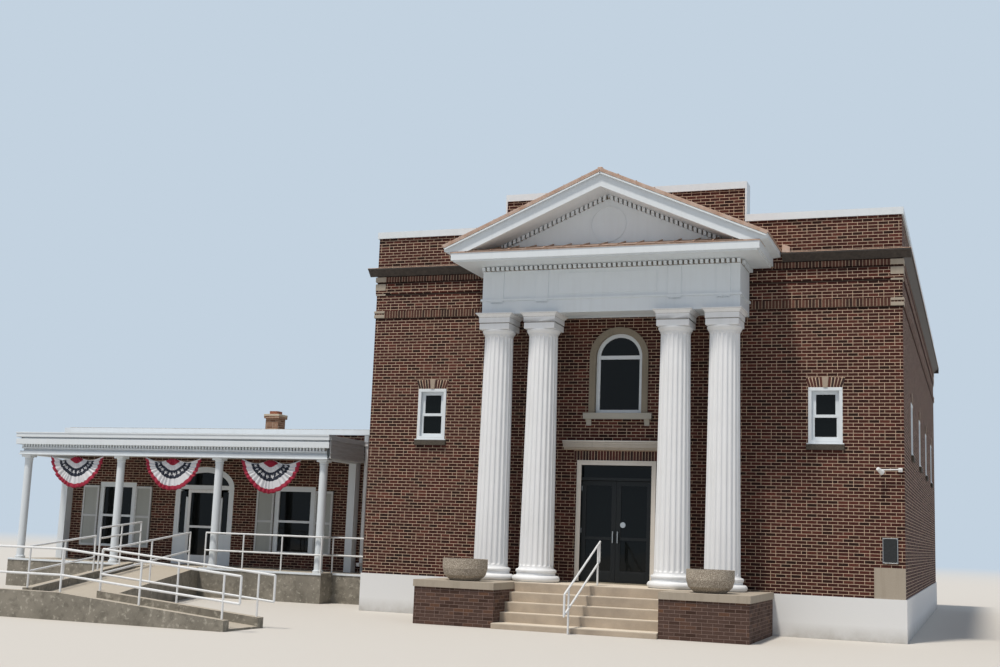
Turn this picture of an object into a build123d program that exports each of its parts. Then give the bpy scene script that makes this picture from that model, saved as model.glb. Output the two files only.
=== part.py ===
from build123d import *
import math
import os

# Town hall: brick block with a columned portico, and a one-storey wing with a porch.
# Millimetres. The origin lies on the ground below the front door, in the face of the
# front wall. +X runs to the right along the front, +Y into the building, +Z up.

# Gap left between like runs that meet in one piece
seam = 0.5

# Main block
block_half = 5850.0
block_depth = 18000.0
wall = 350.0
base_top = 830.0
base_proud = 25.0
brick_top = 8525.0
raised_half = 2680.0
raised_top = 9250.0
coping_height = 150.0
coping_proud = 35.0
roof_top = 8050.0
roof_thick = 250.0
floor_finish = 50.0
upper_floor_top = 3700.0
upper_floor_thick = 240.0

# Main door
door_half = 860.0
door_head = 3430.0
door_trim = 90.0
door_frame_back = 160.0
leaf_height = 2120.0
leaf_thick = 45.0
leaf_stile = 100.0
leaf_bottom_rail = 240.0
leaf_mid_rail = 60.0
leaf_mid_height = 880.0
transom_bar = 60.0
door_gap = 6.0
door_frame_proud = 15.0
leaf_inset = 60.0
glass_thick = 12.0
pull_height = 230.0
pull_reach = 55.0
pull_diameter = 24.0
hood_half = 1160.0
hood_bottom = 3660.0
hood_top = 3845.0
hood_reach = 150.0
hood_step = 42.0
hood_bed = 86.0

# Sash windows of the upper storey
sash_centre = 4330.0
sash_half = 340.0
sash_bottom = 3830.0
sash_top = 4990.0
sash_frame = 60.0
sash_depth = 90.0
sash_set_back = 60.0
sill_height = 110.0
sill_ear = 35.0
sill_reach = 55.0
keystone_height = 215.0
keystone_foot = 80.0
keystone_head = 125.0
keystone_reach = 25.0
side_window_count = 4
side_window_pitch = 3900.0
rear_window_pitch = 4330.0

# Arched window over the door
arch_half = 650.0
arch_spring = 5666.0
arch_sill_top = 4450.0
arch_sill_height = 130.0
arch_sill_half = 750.0
arch_sill_reach = 90.0
arch_stone = 135.0
arch_stone_depth = 180.0
arch_stone_proud = 25.0
arch_frame = 80.0
bracket_drop = 150.0
bracket_width = 110.0
bracket_reach = 72.0
bracket_curve = 180.0

# Brick bands and cornice ledge of the main block
ledge_top = 7790.0
ledge_thick = 35.0
ledge_reach = 180.0
corbel_height = 135.0
lower_band_bottom = 6640.0
lower_band_top = 6800.0
upper_band_bottom = 7210.0
upper_band_mid = 7440.0
upper_band_top = 7600.0
band_joint = 45.0
band_proud = 22.0

cornerstone_width = 590.0
cornerstone_height = 600.0
cornerstone_depth = 120.0
cornerstone_proud = 4.0

# Steps, platform and piers
platform_top = 856.0
first_riser = 105.0
step_count = 4
tread = 262.0
first_tread = 490.0
platform_front = 1660.0
step_half = 1625.0
pier_half_outer = 3300.0
pier_front = 2840.0
cap_height = 135.0
cap_proud = 22.0

# Columns
column_inner = 1430.0
column_outer = 2440.0
column_line = 885.0
base_torus_radius = 495.0
base_lower_height = 135.0
base_neck_height = 40.0
base_upper_radius = 425.0
base_upper_height = 95.0
base_fillet = 8.0
base_chamfer = 30.0
bead_reach = 16.0
shaft_foot_radius = 360.0
shaft_head_radius = 305.0
flute_count = 20
flute_width = 84.0
flute_depth = 30.0
flute_margin = 130.0
flute_sides = 8
neck_height = 110.0
echinus_height = 95.0
echinus_swell = 33.0
abacus_half = 345.0
abacus_height = 170.0
crown_half = 372.0
crown_height = 100.0
crown_lip = 40.0
beam_bottom = 6470.0

# Entablature and pediment
beam_half_length = 2780.0
beam_front = 1100.0
beam_thick = 430.0
taenia_top = 6795.0
taenia_height = 45.0
taenia_proud = 32.0
frieze_top = 7400.0
dentil_height = 100.0
dentil_width = 62.0
dentil_pitch = 108.0
dentil_reach = 75.0
dentil_start = 86.0
bed_height = 22.0
cornice_half = 3270.0
cornice_front = 1810.0
cornice_top = 7702.0
crown_step = 45.0
fascia_height = 172.0
ceiling_bottom = 6600.0
ceiling_thick = 60.0
rake_tip = 3430.0
rake_apex = 9312.0
rake_rise = 0.4338
rake_height = 340.0
rake_front = 1850.0
rake_crown = 40.0
rake_clear = 15.0
tip_drop = 60.0
copper_proud = 20.0
medallion_z = 8330.0
medallion_radius = 390.0
medallion_ring = 28.0
medallion_proud = 14.0
tympanum_face = 1130.0
tympanum_thick = 200.0
copper = 40.0

# Handrail and planters
rail_x = -50.0
rail_top_y = 970.0
rail_top_z = 1712.0
rail_foot_y = 3290.0
rail_foot_z = 730.0
rail_drop = 385.0
rail_post_inset = 110.0
rail_post = 38.0
rail_foot_post_y = 3020.0
pipe = 42.0
planter_radius = 450.0
planter_height = 430.0
planter_foot = 290.0
planter_wall = 70.0
planter_shoulder = 240.0
planter_belly = 110.0
planter_x = 2470.0
planter_y = 2250.0

# Wing
wing_left = 16800.0
wing_front = 3350.0
wing_depth = 10000.0
wing_wall = 300.0
deck_top = 713.0
wing_roof_bottom = 4190.0
wing_roof_thick = 125.0
wing_overhang = 200.0
wing_window_half = 590.0
wing_window_bottom = 1090.0
wing_window_top = 2835.0
wing_window_left = 15070.0
wing_window_right = 9540.0
wing_frame = 130.0
shutter_width = 520.0
shutter_top = 2735.0
shutter_thick = 38.0
shutter_gap = 12.0
side_door_left = 7560.0
side_door_right = 6560.0
side_door_top = 3000.0
entry_x = 12296.0
entry_half = 904.0
entry_spring = 2757.0
entry_rise = 545.0
entry_trim = 150.0
entry_leaf_half = 505.0
entry_leaf_top = 2700.0
entry_leaf_thick = 40.0
entry_leaf_stile = 85.0
entry_transom = 110.0
chimney_x = 13850.0
chimney_y = 9500.0
chimney_top = 5320.0
chimney_width = 450.0

side_overhang = 90.0
chimney_cap = 130.0
chimney_lip = 45.0
chimney_flue = 110.0
entry_post = 60.0
entry_frame_depth = 140.0
side_light_foot = 1530.0
shutter_rail = 55.0
shutter_panel_depth = 8.0

# Porch of the wing
porch_line = 1560.0
porch_front = 1350.0
porch_end = 7600.0
porch_bay = 2960.0
porch_first = 7800.0
porch_count = 4
porch_radius = 100.0
porch_cap = 135.0
porch_cap_height = 60.0
porch_beam_bottom = 3440.0
porch_beam_top = 3800.0
porch_beam_thick = 220.0
porch_cornice_top = 4020.0
porch_cornice_reach = 130.0
porch_bed_reach = 78.0
link_front = 1950.0
pilaster_depth = 250.0
porch_base_reach = 30.0
porch_dentil = 45.0
porch_dentil_pitch = 90.0
porch_reveal = 35.0

# Pipe railing of the porch, its posts counted along the deck's edge
deck_rail_top = 860.0
deck_rail_mid = 430.0
deck_rail_inset = 60.0
deck_rail_start = 10900.0

# Ramp: a flight along the front with a curb each side, a landing, and a flight back to the deck
ramp_front = 7530.0
ramp_back = 6220.0
ramp_foot = 4690.0
ramp_turn = 8130.0
ramp_end = 10200.0
ramp_low = 35.0
ramp_high = 330.0
curb_wide = 180.0
curb_high = 150.0
back_reach_x = 2890.0
back_reach_y = 7570.0
back_width = 1500.0
guard_top = 760.0
guard_low = 300.0
guard_overrun = 330.0
guard_posts = 3
inner_guard_top = 885.0
inner_guard_low = 445.0
upper_guard_top = 920.0
upper_guard_low = 690.0

# Bunting: half-round fans hung under the porch beam, and the downspout beside the porch
bunting_places = (15070.0, 12090.0, 9240.0)
bunting_half = 830.0
bunting_thick = 60.0
bunting_drop = 840.0
spout_x = 7465.0
spout_width = 85.0
spout_foot = 160.0

os.makedirs("parts", exist_ok=True)


def level(z):
    """Plan plane at height z: sketch x along the front, y into the building."""
    return Plane(origin=(0, 0, z), x_dir=(1, 0, 0), z_dir=(0, 0, 1))


def facade(y):
    """Upright plane at depth y: sketch x along the front, y up; it extrudes to the street."""
    return Plane(origin=(0, y, 0), x_dir=(1, 0, 0), z_dir=(0, -1, 0))


def section(x):
    """Upright plane across the front at x: sketch x into the building, y up."""
    return Plane(origin=(x, 0, 0), x_dir=(0, 1, 0), z_dir=(1, 0, 0))


def keep(part, name):
    """Label a finished piece and write it to its own file."""
    part.label = name
    export_step(part, f"parts/{name}.step")


def box(x0, x1, y0, y1, z0, z1, mode=Mode.ADD):
    """A straight block between two corners, made in the part at hand."""
    with Locations(((x0 + x1) / 2, (y0 + y1) / 2, (z0 + z1) / 2)):
        Box(x1 - x0, y1 - y0, z1 - z0, mode=mode)


def pane(x0, x1, z0, z1, mode=Mode.ADD):
    """A rectangle in an upright sketch between two corners."""
    with Locations(((x0 + x1) / 2, (z0 + z1) / 2)):
        Rectangle(x1 - x0, z1 - z0, mode=mode)


def arch_face(centre, half, foot, spring):
    """An upright opening with a half-round head."""
    with BuildSketch(Plane.XY, mode=Mode.PRIVATE) as face:
        with Locations((centre, (foot + spring) / 2)):
            Rectangle(2 * half, spring - foot)
        with Locations((centre, spring)):
            Circle(half)
    return face.sketch


def sash_spots():
    """Centres of the upper sash windows: (name of the wall, distance along it)."""
    first = block_depth / 2 - side_window_pitch * (side_window_count - 1) / 2
    along = [first + side_window_pitch * i for i in range(side_window_count)]
    wing_back = wing_front + wing_depth + wing_overhang
    return {
        "front": [-sash_centre, sash_centre],
        "left": [(wing_back + block_depth) / 2],
        "right": along,
        "rear": [-rear_window_pitch, 0, rear_window_pitch],
    }


spots = sash_spots()

# Podium: the raised base, painted where it shows
with BuildPart() as podium:
    box(-block_half - base_proud, block_half + base_proud, -base_proud, block_depth + base_proud, 0, base_top)
keep(podium.part, "podium")

# Ground and upper floors between the walls, and the flat roof deck inside the parapet
floor_top = base_top + floor_finish
with BuildPart() as decks:
    inner = block_half - wall
    box(-inner, inner, wall, block_depth - wall, base_top, floor_top)
    box(-door_half, door_half, 0, wall, base_top, floor_top)
    box(-inner, inner, wall, block_depth - wall, upper_floor_top - upper_floor_thick, upper_floor_top)
    box(-inner, inner, wall, block_depth - wall, roof_top - roof_thick, roof_top)
keep(decks.part, "floors_and_roof")

# Front wall: beside the doorway, stepping up to the raised parapet, and over it
for name, side in (("front_wall_left", -1), ("front_wall_right", 1)):
    with BuildPart() as front_wall:
        with BuildSketch(facade(wall)):
            with BuildLine():
                Polyline(
                    (side * door_half, base_top),
                    (side * block_half, base_top),
                    (side * block_half, brick_top),
                    (side * raised_half, brick_top),
                    (side * raised_half, raised_top),
                    (side * door_half, raised_top),
                    close=True,
                )
            make_face()
            with Locations((side * sash_centre, (sash_bottom + sash_top) / 2)):
                Rectangle(2 * sash_half, sash_top - sash_bottom, mode=Mode.SUBTRACT)
        extrude(amount=wall)
        if side > 0:
            corner = block_half - cornerstone_width
            stone_top = base_top + cornerstone_height
            box(corner, block_half, 0, cornerstone_depth, base_top, stone_top, Mode.SUBTRACT)
    keep(front_wall.part, name)

with BuildPart() as front_wall_centre:
    with BuildSketch(facade(wall)):
        pane(-door_half, door_half, door_head, raised_top)
        add(arch_face(0, arch_half, arch_sill_top - arch_sill_height, arch_spring), mode=Mode.SUBTRACT)
    extrude(amount=wall)
keep(front_wall_centre.part, "front_wall_centre")

with BuildPart() as cornerstone:
    box(
        block_half - cornerstone_width,
        block_half,
        -cornerstone_proud,
        cornerstone_depth,
        base_top,
        base_top + cornerstone_height,
    )
keep(cornerstone.part, "cornerstone")

# Side walls with a row of sash windows, and the rear wall
for name, side in (("left", -1), ("right", 1)):
    with BuildPart() as side_wall:
        with BuildSketch(section(side * (block_half - wall / 2))):
            pane(wall, block_depth - wall, base_top, brick_top)
            with Locations([(y, (sash_bottom + sash_top) / 2) for y in spots[name]]):
                Rectangle(2 * sash_half, sash_top - sash_bottom, mode=Mode.SUBTRACT)
        extrude(amount=wall / 2, both=True)
    keep(side_wall.part, name + "_wall")

with BuildPart() as rear_wall:
    with BuildSketch(facade(block_depth)):
        pane(-block_half, block_half, base_top, brick_top)
        with Locations([(x, (sash_bottom + sash_top) / 2) for x in spots["rear"]]):
            Rectangle(2 * sash_half, sash_top - sash_bottom, mode=Mode.SUBTRACT)
    extrude(amount=wall)
keep(rear_wall.part, "rear_wall")

# Parapet coping: low runs round the block, the raised run at the front with its upright ends
coping_in = wall + coping_proud
coping_low = brick_top + coping_height
coping_high = raised_top + coping_height
raised_end = raised_half + coping_proud
coping_edge = block_half + coping_proud
with BuildPart() as coping:
    for side in (-1, 1):
        near = sorted((side * (raised_end + seam), side * coping_edge))
        box(near[0], near[1], -coping_proud, coping_in, brick_top, coping_low)
        flank = sorted((side * (block_half - coping_in), side * coping_edge))
        box(flank[0], flank[1], coping_in + seam, block_depth - coping_in - seam, brick_top, coping_low)
        end = sorted((side * raised_half, side * raised_end))
        box(end[0], end[1], -coping_proud, coping_in, brick_top, coping_high)
    box(-coping_edge, coping_edge, block_depth - coping_in, block_depth + coping_proud, brick_top, coping_low)
    box(-raised_half, raised_half, -coping_proud, coping_in, raised_top, coping_high)
    ridge = rake_apex + copper + seam
    notch = (ridge - raised_top) / rake_rise
    box(-notch, notch, -coping_proud, 0, raised_top, ridge, Mode.SUBTRACT)
keep(coping.part, "parapet_coping")

# Cornice ledge: a thin drip course on a sloping corbel, along the front and the sides
ledge_stop = rake_tip + copper_proud + rake_clear
corbel_foot = ledge_top - ledge_thick - corbel_height


def ledge_profile():
    """Section through the ledge: x outwards from the wall face, y up."""
    with BuildSketch(Plane.XY, mode=Mode.PRIVATE) as shape:
        with BuildLine():
            Polyline(
                (0, corbel_foot),
                (band_proud, corbel_foot),
                (ledge_reach - band_proud, ledge_top - ledge_thick),
                (ledge_reach, ledge_top - ledge_thick),
                (ledge_reach, ledge_top),
                (0, ledge_top + band_proud),
                close=True,
            )
        make_face()
    return shape.sketch


def run_along(profile, start, length, outwards, along):
    """A straight run of a wall profile that stands out of the wall one way."""
    with BuildSketch(Plane(origin=start, x_dir=outwards, z_dir=along)) as end:
        add(profile)
    extrude(end.sketch, amount=length)


def wrap_block(profile, reach, stop):
    """Runs of a profile round the block: the front, left free between the stops, sides and rear."""
    corner = block_half + reach
    side_run = block_depth - 2 * seam
    run_along(profile, (corner, 0, 0), corner - stop, (0, -1, 0), (-1, 0, 0))
    run_along(profile, (-stop, 0, 0), corner - stop, (0, -1, 0), (-1, 0, 0))
    run_along(profile, (block_half, block_depth - seam, 0), side_run, (1, 0, 0), (0, -1, 0))
    run_along(profile, (-block_half, seam, 0), side_run, (-1, 0, 0), (0, 1, 0))
    run_along(profile, (-corner, block_depth, 0), 2 * corner, (0, 1, 0), (1, 0, 0))


with BuildPart() as main_cornice:
    wrap_block(ledge_profile(), ledge_reach, ledge_stop)
keep(main_cornice.part, "main_cornice")


def band_profile(bottom, top):
    """Section of one flat brick band."""
    with BuildSketch(Plane.XY, mode=Mode.PRIVATE) as shape:
        with Locations((band_proud / 2, (bottom + top) / 2)):
            Rectangle(band_proud, top - bottom)
    return shape.sketch


band_stop = beam_half_length + taenia_proud + rake_clear
top_band_stop = cornice_half + rake_clear
with BuildPart() as brick_bands:
    wrap_block(band_profile(lower_band_bottom, lower_band_top), band_proud, band_stop)
    wrap_block(band_profile(upper_band_bottom, upper_band_mid), band_proud, band_stop)
    wrap_block(band_profile(upper_band_mid + band_joint, upper_band_top), band_proud, top_band_stop)
keep(brick_bands.part, "brick_bands")

# Sash windows: frames with two sashes, panes, stone sills and keystones
sash_mid = (sash_bottom + sash_top) / 2
wall_planes = [(facade(sash_set_back + sash_depth), x) for x in spots["front"]]
wall_planes += [
    (Plane(origin=(block_half - sash_set_back - sash_depth, 0, 0), x_dir=(0, 1, 0), z_dir=(1, 0, 0)), y)
    for y in spots["right"]
]
wall_planes += [
    (Plane(origin=(sash_set_back + sash_depth - block_half, 0, 0), x_dir=(0, -1, 0), z_dir=(-1, 0, 0)), -y)
    for y in spots["left"]
]
wall_planes += [
    (Plane(origin=(0, block_depth - sash_set_back - sash_depth, 0), x_dir=(-1, 0, 0), z_dir=(0, 1, 0)), -x)
    for x in spots["rear"]
]
light_half = sash_half - sash_frame
light_height = (sash_top - sash_bottom - 3 * sash_frame) / 2
light_rise = (light_height + sash_frame) / 2

with BuildPart() as sills_and_keystones:
    for plane, along in wall_planes:
        face = plane.offset(sash_depth + sash_set_back)
        with BuildSketch(face):
            with Locations((along, sash_bottom - sill_height / 2)):
                Rectangle(2 * (sash_half + sill_ear), sill_height)
        extrude(amount=sill_reach)
        with BuildSketch(face):
            with BuildLine():
                Polyline(
                    (along - keystone_foot / 2, sash_top),
                    (along + keystone_foot / 2, sash_top),
                    (along + keystone_head / 2, sash_top + keystone_height),
                    (along - keystone_head / 2, sash_top + keystone_height),
                    close=True,
                )
            make_face()
        extrude(amount=keystone_reach)
keep(sills_and_keystones.part, "sills_and_keystones")

# Arched window: stone surround with a sill on brackets, frame and panes
arch_foot = arch_sill_top - arch_sill_height
arch_inner = arch_half - arch_stone
arch_light = arch_inner - arch_frame
with BuildPart() as arch_surround:
    with BuildSketch(facade(arch_stone_depth)):
        add(arch_face(0, arch_half, arch_foot, arch_spring))
        add(arch_face(0, arch_inner, arch_sill_top, arch_spring), mode=Mode.SUBTRACT)
    extrude(amount=arch_stone_depth + arch_stone_proud)
    box(-arch_sill_half, arch_sill_half, -arch_sill_reach, -arch_stone_proud, arch_foot, arch_sill_top)
    box(-arch_sill_half, arch_sill_half, -arch_stone_proud, 0, arch_foot, arch_sill_top)
    for side in (-1, 1):
        across = side * (arch_sill_half - bracket_width) - bracket_width / 2
        with BuildSketch(section(across)) as bracket:
            with BuildLine():
                Line((0, arch_foot), (-bracket_reach, arch_foot))
                RadiusArc((-bracket_reach, arch_foot), (0, arch_foot - bracket_drop), bracket_curve)
                Line((0, arch_foot - bracket_drop), (0, arch_foot))
            make_face()
        extrude(bracket.sketch, amount=bracket_width)
keep(arch_surround.part, "arch_surround")

# Main doorway: frame with a transom light, two glazed leaves with pulls, stone hood
leaf_bottom = floor_top + door_gap
leaf_top = leaf_bottom + leaf_height
opening_half = door_half - door_trim
opening_top = leaf_top + door_gap
light_bottom = opening_top + transom_bar
light_top = door_head - door_trim
with BuildPart() as door_frame:
    with BuildSketch(facade(door_frame_back)):
        pane(-door_half, door_half, floor_top, door_head)
        pane(-opening_half, opening_half, floor_top, opening_top, Mode.SUBTRACT)
        pane(-opening_half, opening_half, light_bottom, light_top, Mode.SUBTRACT)
    extrude(amount=door_frame_back + door_frame_proud)
keep(door_frame.part, "door_frame")

leaf_back = door_frame_back - leaf_inset
mid_rail = leaf_bottom + leaf_mid_height
for name, side in (("left_door", -1), ("right_door", 1)):
    hinge_edge = side * (opening_half - door_gap)
    meeting_edge = side * door_gap / 2
    low, high = sorted((hinge_edge, meeting_edge))
    lights = (
        (low + leaf_stile, high - leaf_stile, leaf_bottom + leaf_bottom_rail, mid_rail),
        (low + leaf_stile, high - leaf_stile, mid_rail + leaf_mid_rail, leaf_top - leaf_stile),
    )
    with BuildPart() as leaf:
        with BuildSketch(facade(leaf_back)):
            pane(low, high, leaf_bottom, leaf_top)
            for light in lights:
                pane(*light, Mode.SUBTRACT)
        extrude(amount=leaf_thick)
        pull_x = meeting_edge + side * leaf_stile / 2
        pull_z = mid_rail + leaf_mid_rail
        pull_y = leaf_back - leaf_thick - pull_reach
        with Locations((pull_x, pull_y, pull_z)):
            Cylinder(pull_diameter / 2, pull_height)
        for foot_z in (pull_z - pull_height / 2 + pull_diameter, pull_z + pull_height / 2 - pull_diameter):
            with Locations((pull_x, pull_y + pull_reach / 2, foot_z)):
                Box(pull_diameter, pull_reach, pull_diameter)
    keep(leaf.part, name)
    with BuildPart() as leaf_glass:
        with BuildSketch(facade(leaf_back - (leaf_thick - glass_thick) / 2)):
            for light in lights:
                pane(*light)
        extrude(amount=glass_thick)
    keep(leaf_glass.part, name + "_glass")

with BuildPart() as door_hood:
    with BuildSketch(section(-hood_half)) as hood:
        with BuildLine():
            Polyline(
                (0, hood_bottom),
                (-hood_bed, hood_bottom),
                (-hood_bed, hood_bottom + hood_step),
                (-hood_reach, hood_bottom + hood_step),
                (-hood_reach, hood_top - hood_step / 2),
                (0, hood_top),
                close=True,
            )
        make_face()
    extrude(amount=2 * hood_half)
keep(door_hood.part, "door_hood")

# Platform and steps between two brick piers with stone caps
with BuildPart() as platform:
    box(-step_half, step_half, -platform_front, -base_proud, 0, platform_top)
keep(platform.part, "platform")

riser = (platform_top - first_riser) / step_count
with BuildPart() as steps:
    with BuildSketch(section(-step_half)):
        with BuildLine():
            points = [(-platform_front, 0), (-platform_front, platform_top - riser)]
            depth = platform_front
            for i in range(step_count - 1):
                depth += tread
                points.append((-depth, platform_top - (i + 1) * riser))
                points.append((-depth, platform_top - (i + 2) * riser))
            points.append((-depth - first_tread, first_riser))
            points.append((-depth - first_tread, 0))
            Polyline(*points, close=True)
        make_face()
    extrude(amount=2 * step_half)
keep(steps.part, "steps")

cap_bottom = platform_top - cap_height
with BuildPart() as piers:
    for side in (-1, 1):
        low, high = sorted((side * step_half, side * pier_half_outer))
        box(low, high, -pier_front, -base_proud, 0, cap_bottom)
keep(piers.part, "piers")

with BuildPart() as pier_caps:
    for side in (-1, 1):
        low, high = sorted((side * step_half, side * (pier_half_outer + cap_proud)))
        box(low, high, -pier_front - cap_proud, -base_proud, cap_bottom, platform_top)
keep(pier_caps.part, "pier_caps")

# Fluted columns on round bases, with square capitals
base_top_z = platform_top + base_lower_height + base_neck_height + base_upper_height
abacus_bottom = beam_bottom - crown_height - abacus_height
echinus_bottom = abacus_bottom - echinus_height
shaft_top = echinus_bottom - neck_height
neck_radius = base_upper_radius - base_chamfer + base_fillet
echinus_mid = (shaft_head_radius + abacus_half + bead_reach) / 2
upper_foot = platform_top + base_lower_height + base_neck_height
column_places = [(x, -column_line) for x in (-column_outer, -column_inner, column_inner, column_outer)]


def shaft_radius(z):
    """Radius of the tapering shaft at height z."""
    share = (z - base_top_z) / (echinus_bottom - base_top_z)
    return shaft_foot_radius + (shaft_head_radius - shaft_foot_radius) * share


def flute_centre(z):
    """Distance of a flute's centre line from the shaft's axis at height z."""
    return shaft_radius(z) + (flute_width / 2 - flute_depth) * flute_scale(z)


def flute_scale(z):
    """Share of the full flute width at height z."""
    return shaft_radius(z) / shaft_foot_radius


with BuildPart() as flute:
    for z in (base_top_z + flute_margin, shaft_top - flute_margin):
        with BuildSketch(level(z)):
            with Locations((flute_centre(z), 0)):
                RegularPolygon(flute_width / 2 * flute_scale(z), flute_sides)
    loft()

with BuildPart() as column:
    with BuildSketch(Plane.XZ):
        with BuildLine():
            lower_side = base_torus_radius - base_chamfer
            upper_side = base_upper_radius - base_chamfer
            lower_top = platform_top + base_lower_height
            bead = shaft_radius(shaft_top)
            Polyline(
                (0, platform_top),
                (lower_side, platform_top),
                (base_torus_radius, platform_top + base_chamfer),
                (base_torus_radius, lower_top - base_chamfer),
                (lower_side, lower_top),
                (neck_radius, lower_top),
                (neck_radius, upper_foot),
                (upper_side, upper_foot),
                (base_upper_radius, upper_foot + base_chamfer),
                (base_upper_radius, base_top_z - base_chamfer),
                (upper_side, base_top_z),
                (shaft_foot_radius, base_top_z),
                (bead, shaft_top),
                (bead + bead_reach, shaft_top + bead_reach),
                (bead, shaft_top + 2 * bead_reach),
                (shaft_head_radius, echinus_bottom),
                (echinus_mid, echinus_bottom + echinus_swell),
                (abacus_half, abacus_bottom),
                (0, abacus_bottom),
                close=True,
            )
        make_face()
    revolve(axis=Axis.Z)
    with PolarLocations(0, flute_count):
        add(flute.part, mode=Mode.SUBTRACT)
    with Locations((0, 0, abacus_bottom + abacus_height / 2)):
        Box(2 * abacus_half, 2 * abacus_half, abacus_height)
    with BuildSketch(level(beam_bottom - crown_height)):
        Rectangle(2 * abacus_half, 2 * abacus_half)
    with BuildSketch(level(beam_bottom - crown_lip)):
        Rectangle(2 * crown_half, 2 * crown_half)
    loft()
    with Locations((0, 0, beam_bottom - crown_lip / 2)):
        Box(2 * crown_half, 2 * crown_half, crown_lip)

with BuildPart() as columns:
    with Locations([(x, y, 0) for x, y in column_places]):
        add(column.part)
keep(columns.part, "columns")

# Entablature: front beam and two side beams with a taenia, over the columns
beam_back = beam_front - beam_thick


def beam(x0, x1, y0, y1, left, right, front):
    """One beam in three courses; the taenia stands proud of the sides that show."""
    box(x0, x1, y0, y1, beam_bottom, taenia_top - taenia_height)
    box(x0 - left, x1 + right, y0 - front, y1, taenia_top - taenia_height, taenia_top)
    box(x0, x1, y0, y1, taenia_top, frieze_top)


with BuildPart() as front_beam:
    proud = [taenia_proud] * 3
    beam(-beam_half_length, beam_half_length, -beam_front, -beam_back, *proud)
keep(front_beam.part, "front_beam")

inner_side = beam_half_length - beam_thick
with BuildPart() as side_beams:
    beam(-beam_half_length, -inner_side, -beam_back, 0, taenia_proud, 0, 0)
    beam(inner_side, beam_half_length, -beam_back, 0, 0, taenia_proud, 0)
keep(side_beams.part, "side_beams")

with BuildPart() as portico_ceiling:
    box(-inner_side, inner_side, -beam_back, 0, ceiling_bottom, ceiling_bottom + ceiling_thick)
keep(portico_ceiling.part, "portico_ceiling")

# Dentil course: a bed strip with blocks along the front and both sides
dentil_top = frieze_top + dentil_height
front_dentils = int(2 * beam_half_length / dentil_pitch) + 1
side_dentils = int((beam_front - dentil_width) / dentil_pitch)
with BuildPart() as dentils:
    box(-beam_half_length, beam_half_length, -beam_front, -beam_back, frieze_top, dentil_top)
    with Locations((0, -beam_front - dentil_reach / 2, frieze_top + dentil_height / 2)):
        with GridLocations(dentil_pitch, 0, front_dentils, 1):
            Box(dentil_width, dentil_reach, dentil_height - bed_height)
    for side in (-1, 1):
        low, high = sorted((side * inner_side, side * beam_half_length))
        box(low, high, -beam_back + seam, 0, frieze_top, dentil_top)
        for i in range(side_dentils):
            y = -dentil_pitch * (i + 0.5)
            x = side * (beam_half_length + dentil_reach / 2)
            if abs(y + beam_back) > dentil_width:
                with Locations((x, y, frieze_top + dentil_height / 2)):
                    Box(dentil_reach, dentil_width, dentil_height - bed_height)
keep(dentils.part, "dentils")

# Horizontal cornice: a deep fascia over a shallow bed
fascia_foot = cornice_top - fascia_height
with BuildPart() as horizontal_cornice:
    box(
        -cornice_half + crown_step,
        cornice_half - crown_step,
        -cornice_front + crown_step,
        0,
        dentil_top,
        fascia_foot,
    )
    box(-cornice_half, cornice_half, -cornice_front, 0, fascia_foot, cornice_top)
keep(horizontal_cornice.part, "horizontal_cornice")

# Pediment: tympanum with a round medallion ring and raking dentils, and two raking cornices
rake_foot = (rake_apex - rake_height - cornice_top) / rake_rise
with BuildPart() as tympanum:
    with BuildSketch(facade(-tympanum_face + tympanum_thick)):
        with BuildLine():
            Polyline(
                (-rake_foot, cornice_top),
                (rake_foot, cornice_top),
                (0, rake_apex - rake_height),
                close=True,
            )
        make_face()
    extrude(amount=tympanum_thick)
    with BuildSketch(facade(-tympanum_face)):
        with Locations((0, medallion_z)):
            Circle(medallion_radius)
            Circle(medallion_radius - medallion_ring, mode=Mode.SUBTRACT)
    extrude(amount=medallion_proud)
    rake_angle = math.degrees(math.atan(rake_rise))
    rake_length = rake_foot / math.cos(math.radians(rake_angle))
    rake_dentils = int((rake_length - 3 * dentil_height) / dentil_pitch)
    for side in (-1, 1):
        with BuildSketch(facade(-tympanum_face)):
            for i in range(rake_dentils):
                along = (dentil_pitch * i + dentil_start) * math.cos(math.radians(rake_angle))
                drop = rake_apex - rake_height - along * rake_rise
                with BuildLine():
                    half = dentil_width / 2
                    Polyline(
                        (side * (along - half), drop + half * rake_rise - bed_height / 4),
                        (side * (along + half), drop - half * rake_rise - bed_height / 4),
                        (side * (along + half), drop - half * rake_rise - dentil_height),
                        (side * (along - half), drop + half * rake_rise - dentil_height),
                        close=True,
                    )
                make_face()
        extrude(amount=dentil_reach)
keep(tympanum.part, "tympanum")

for name, side in (("left_rake", -1), ("right_rake", 1)):
    with BuildPart() as rake:
        tip_top = rake_apex - rake_tip * rake_rise
        with BuildSketch(facade(0)):
            with BuildLine():
                Polyline(
                    (0, rake_apex - rake_crown),
                    (side * rake_tip, tip_top - rake_crown),
                    (side * rake_tip, tip_top - rake_crown - tip_drop),
                    (side * cornice_half, cornice_top),
                    (side * rake_foot, cornice_top),
                    (0, rake_apex - rake_height),
                    close=True,
                )
            make_face()
        extrude(amount=rake_front - crown_step)
        with BuildSketch(facade(0)):
            with BuildLine():
                Polyline(
                    (0, rake_apex),
                    (side * rake_tip, tip_top),
                    (side * rake_tip, tip_top - rake_crown),
                    (0, rake_apex - rake_crown),
                    close=True,
                )
            make_face()
        extrude(amount=rake_front)
    keep(rake.part, name)

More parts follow.
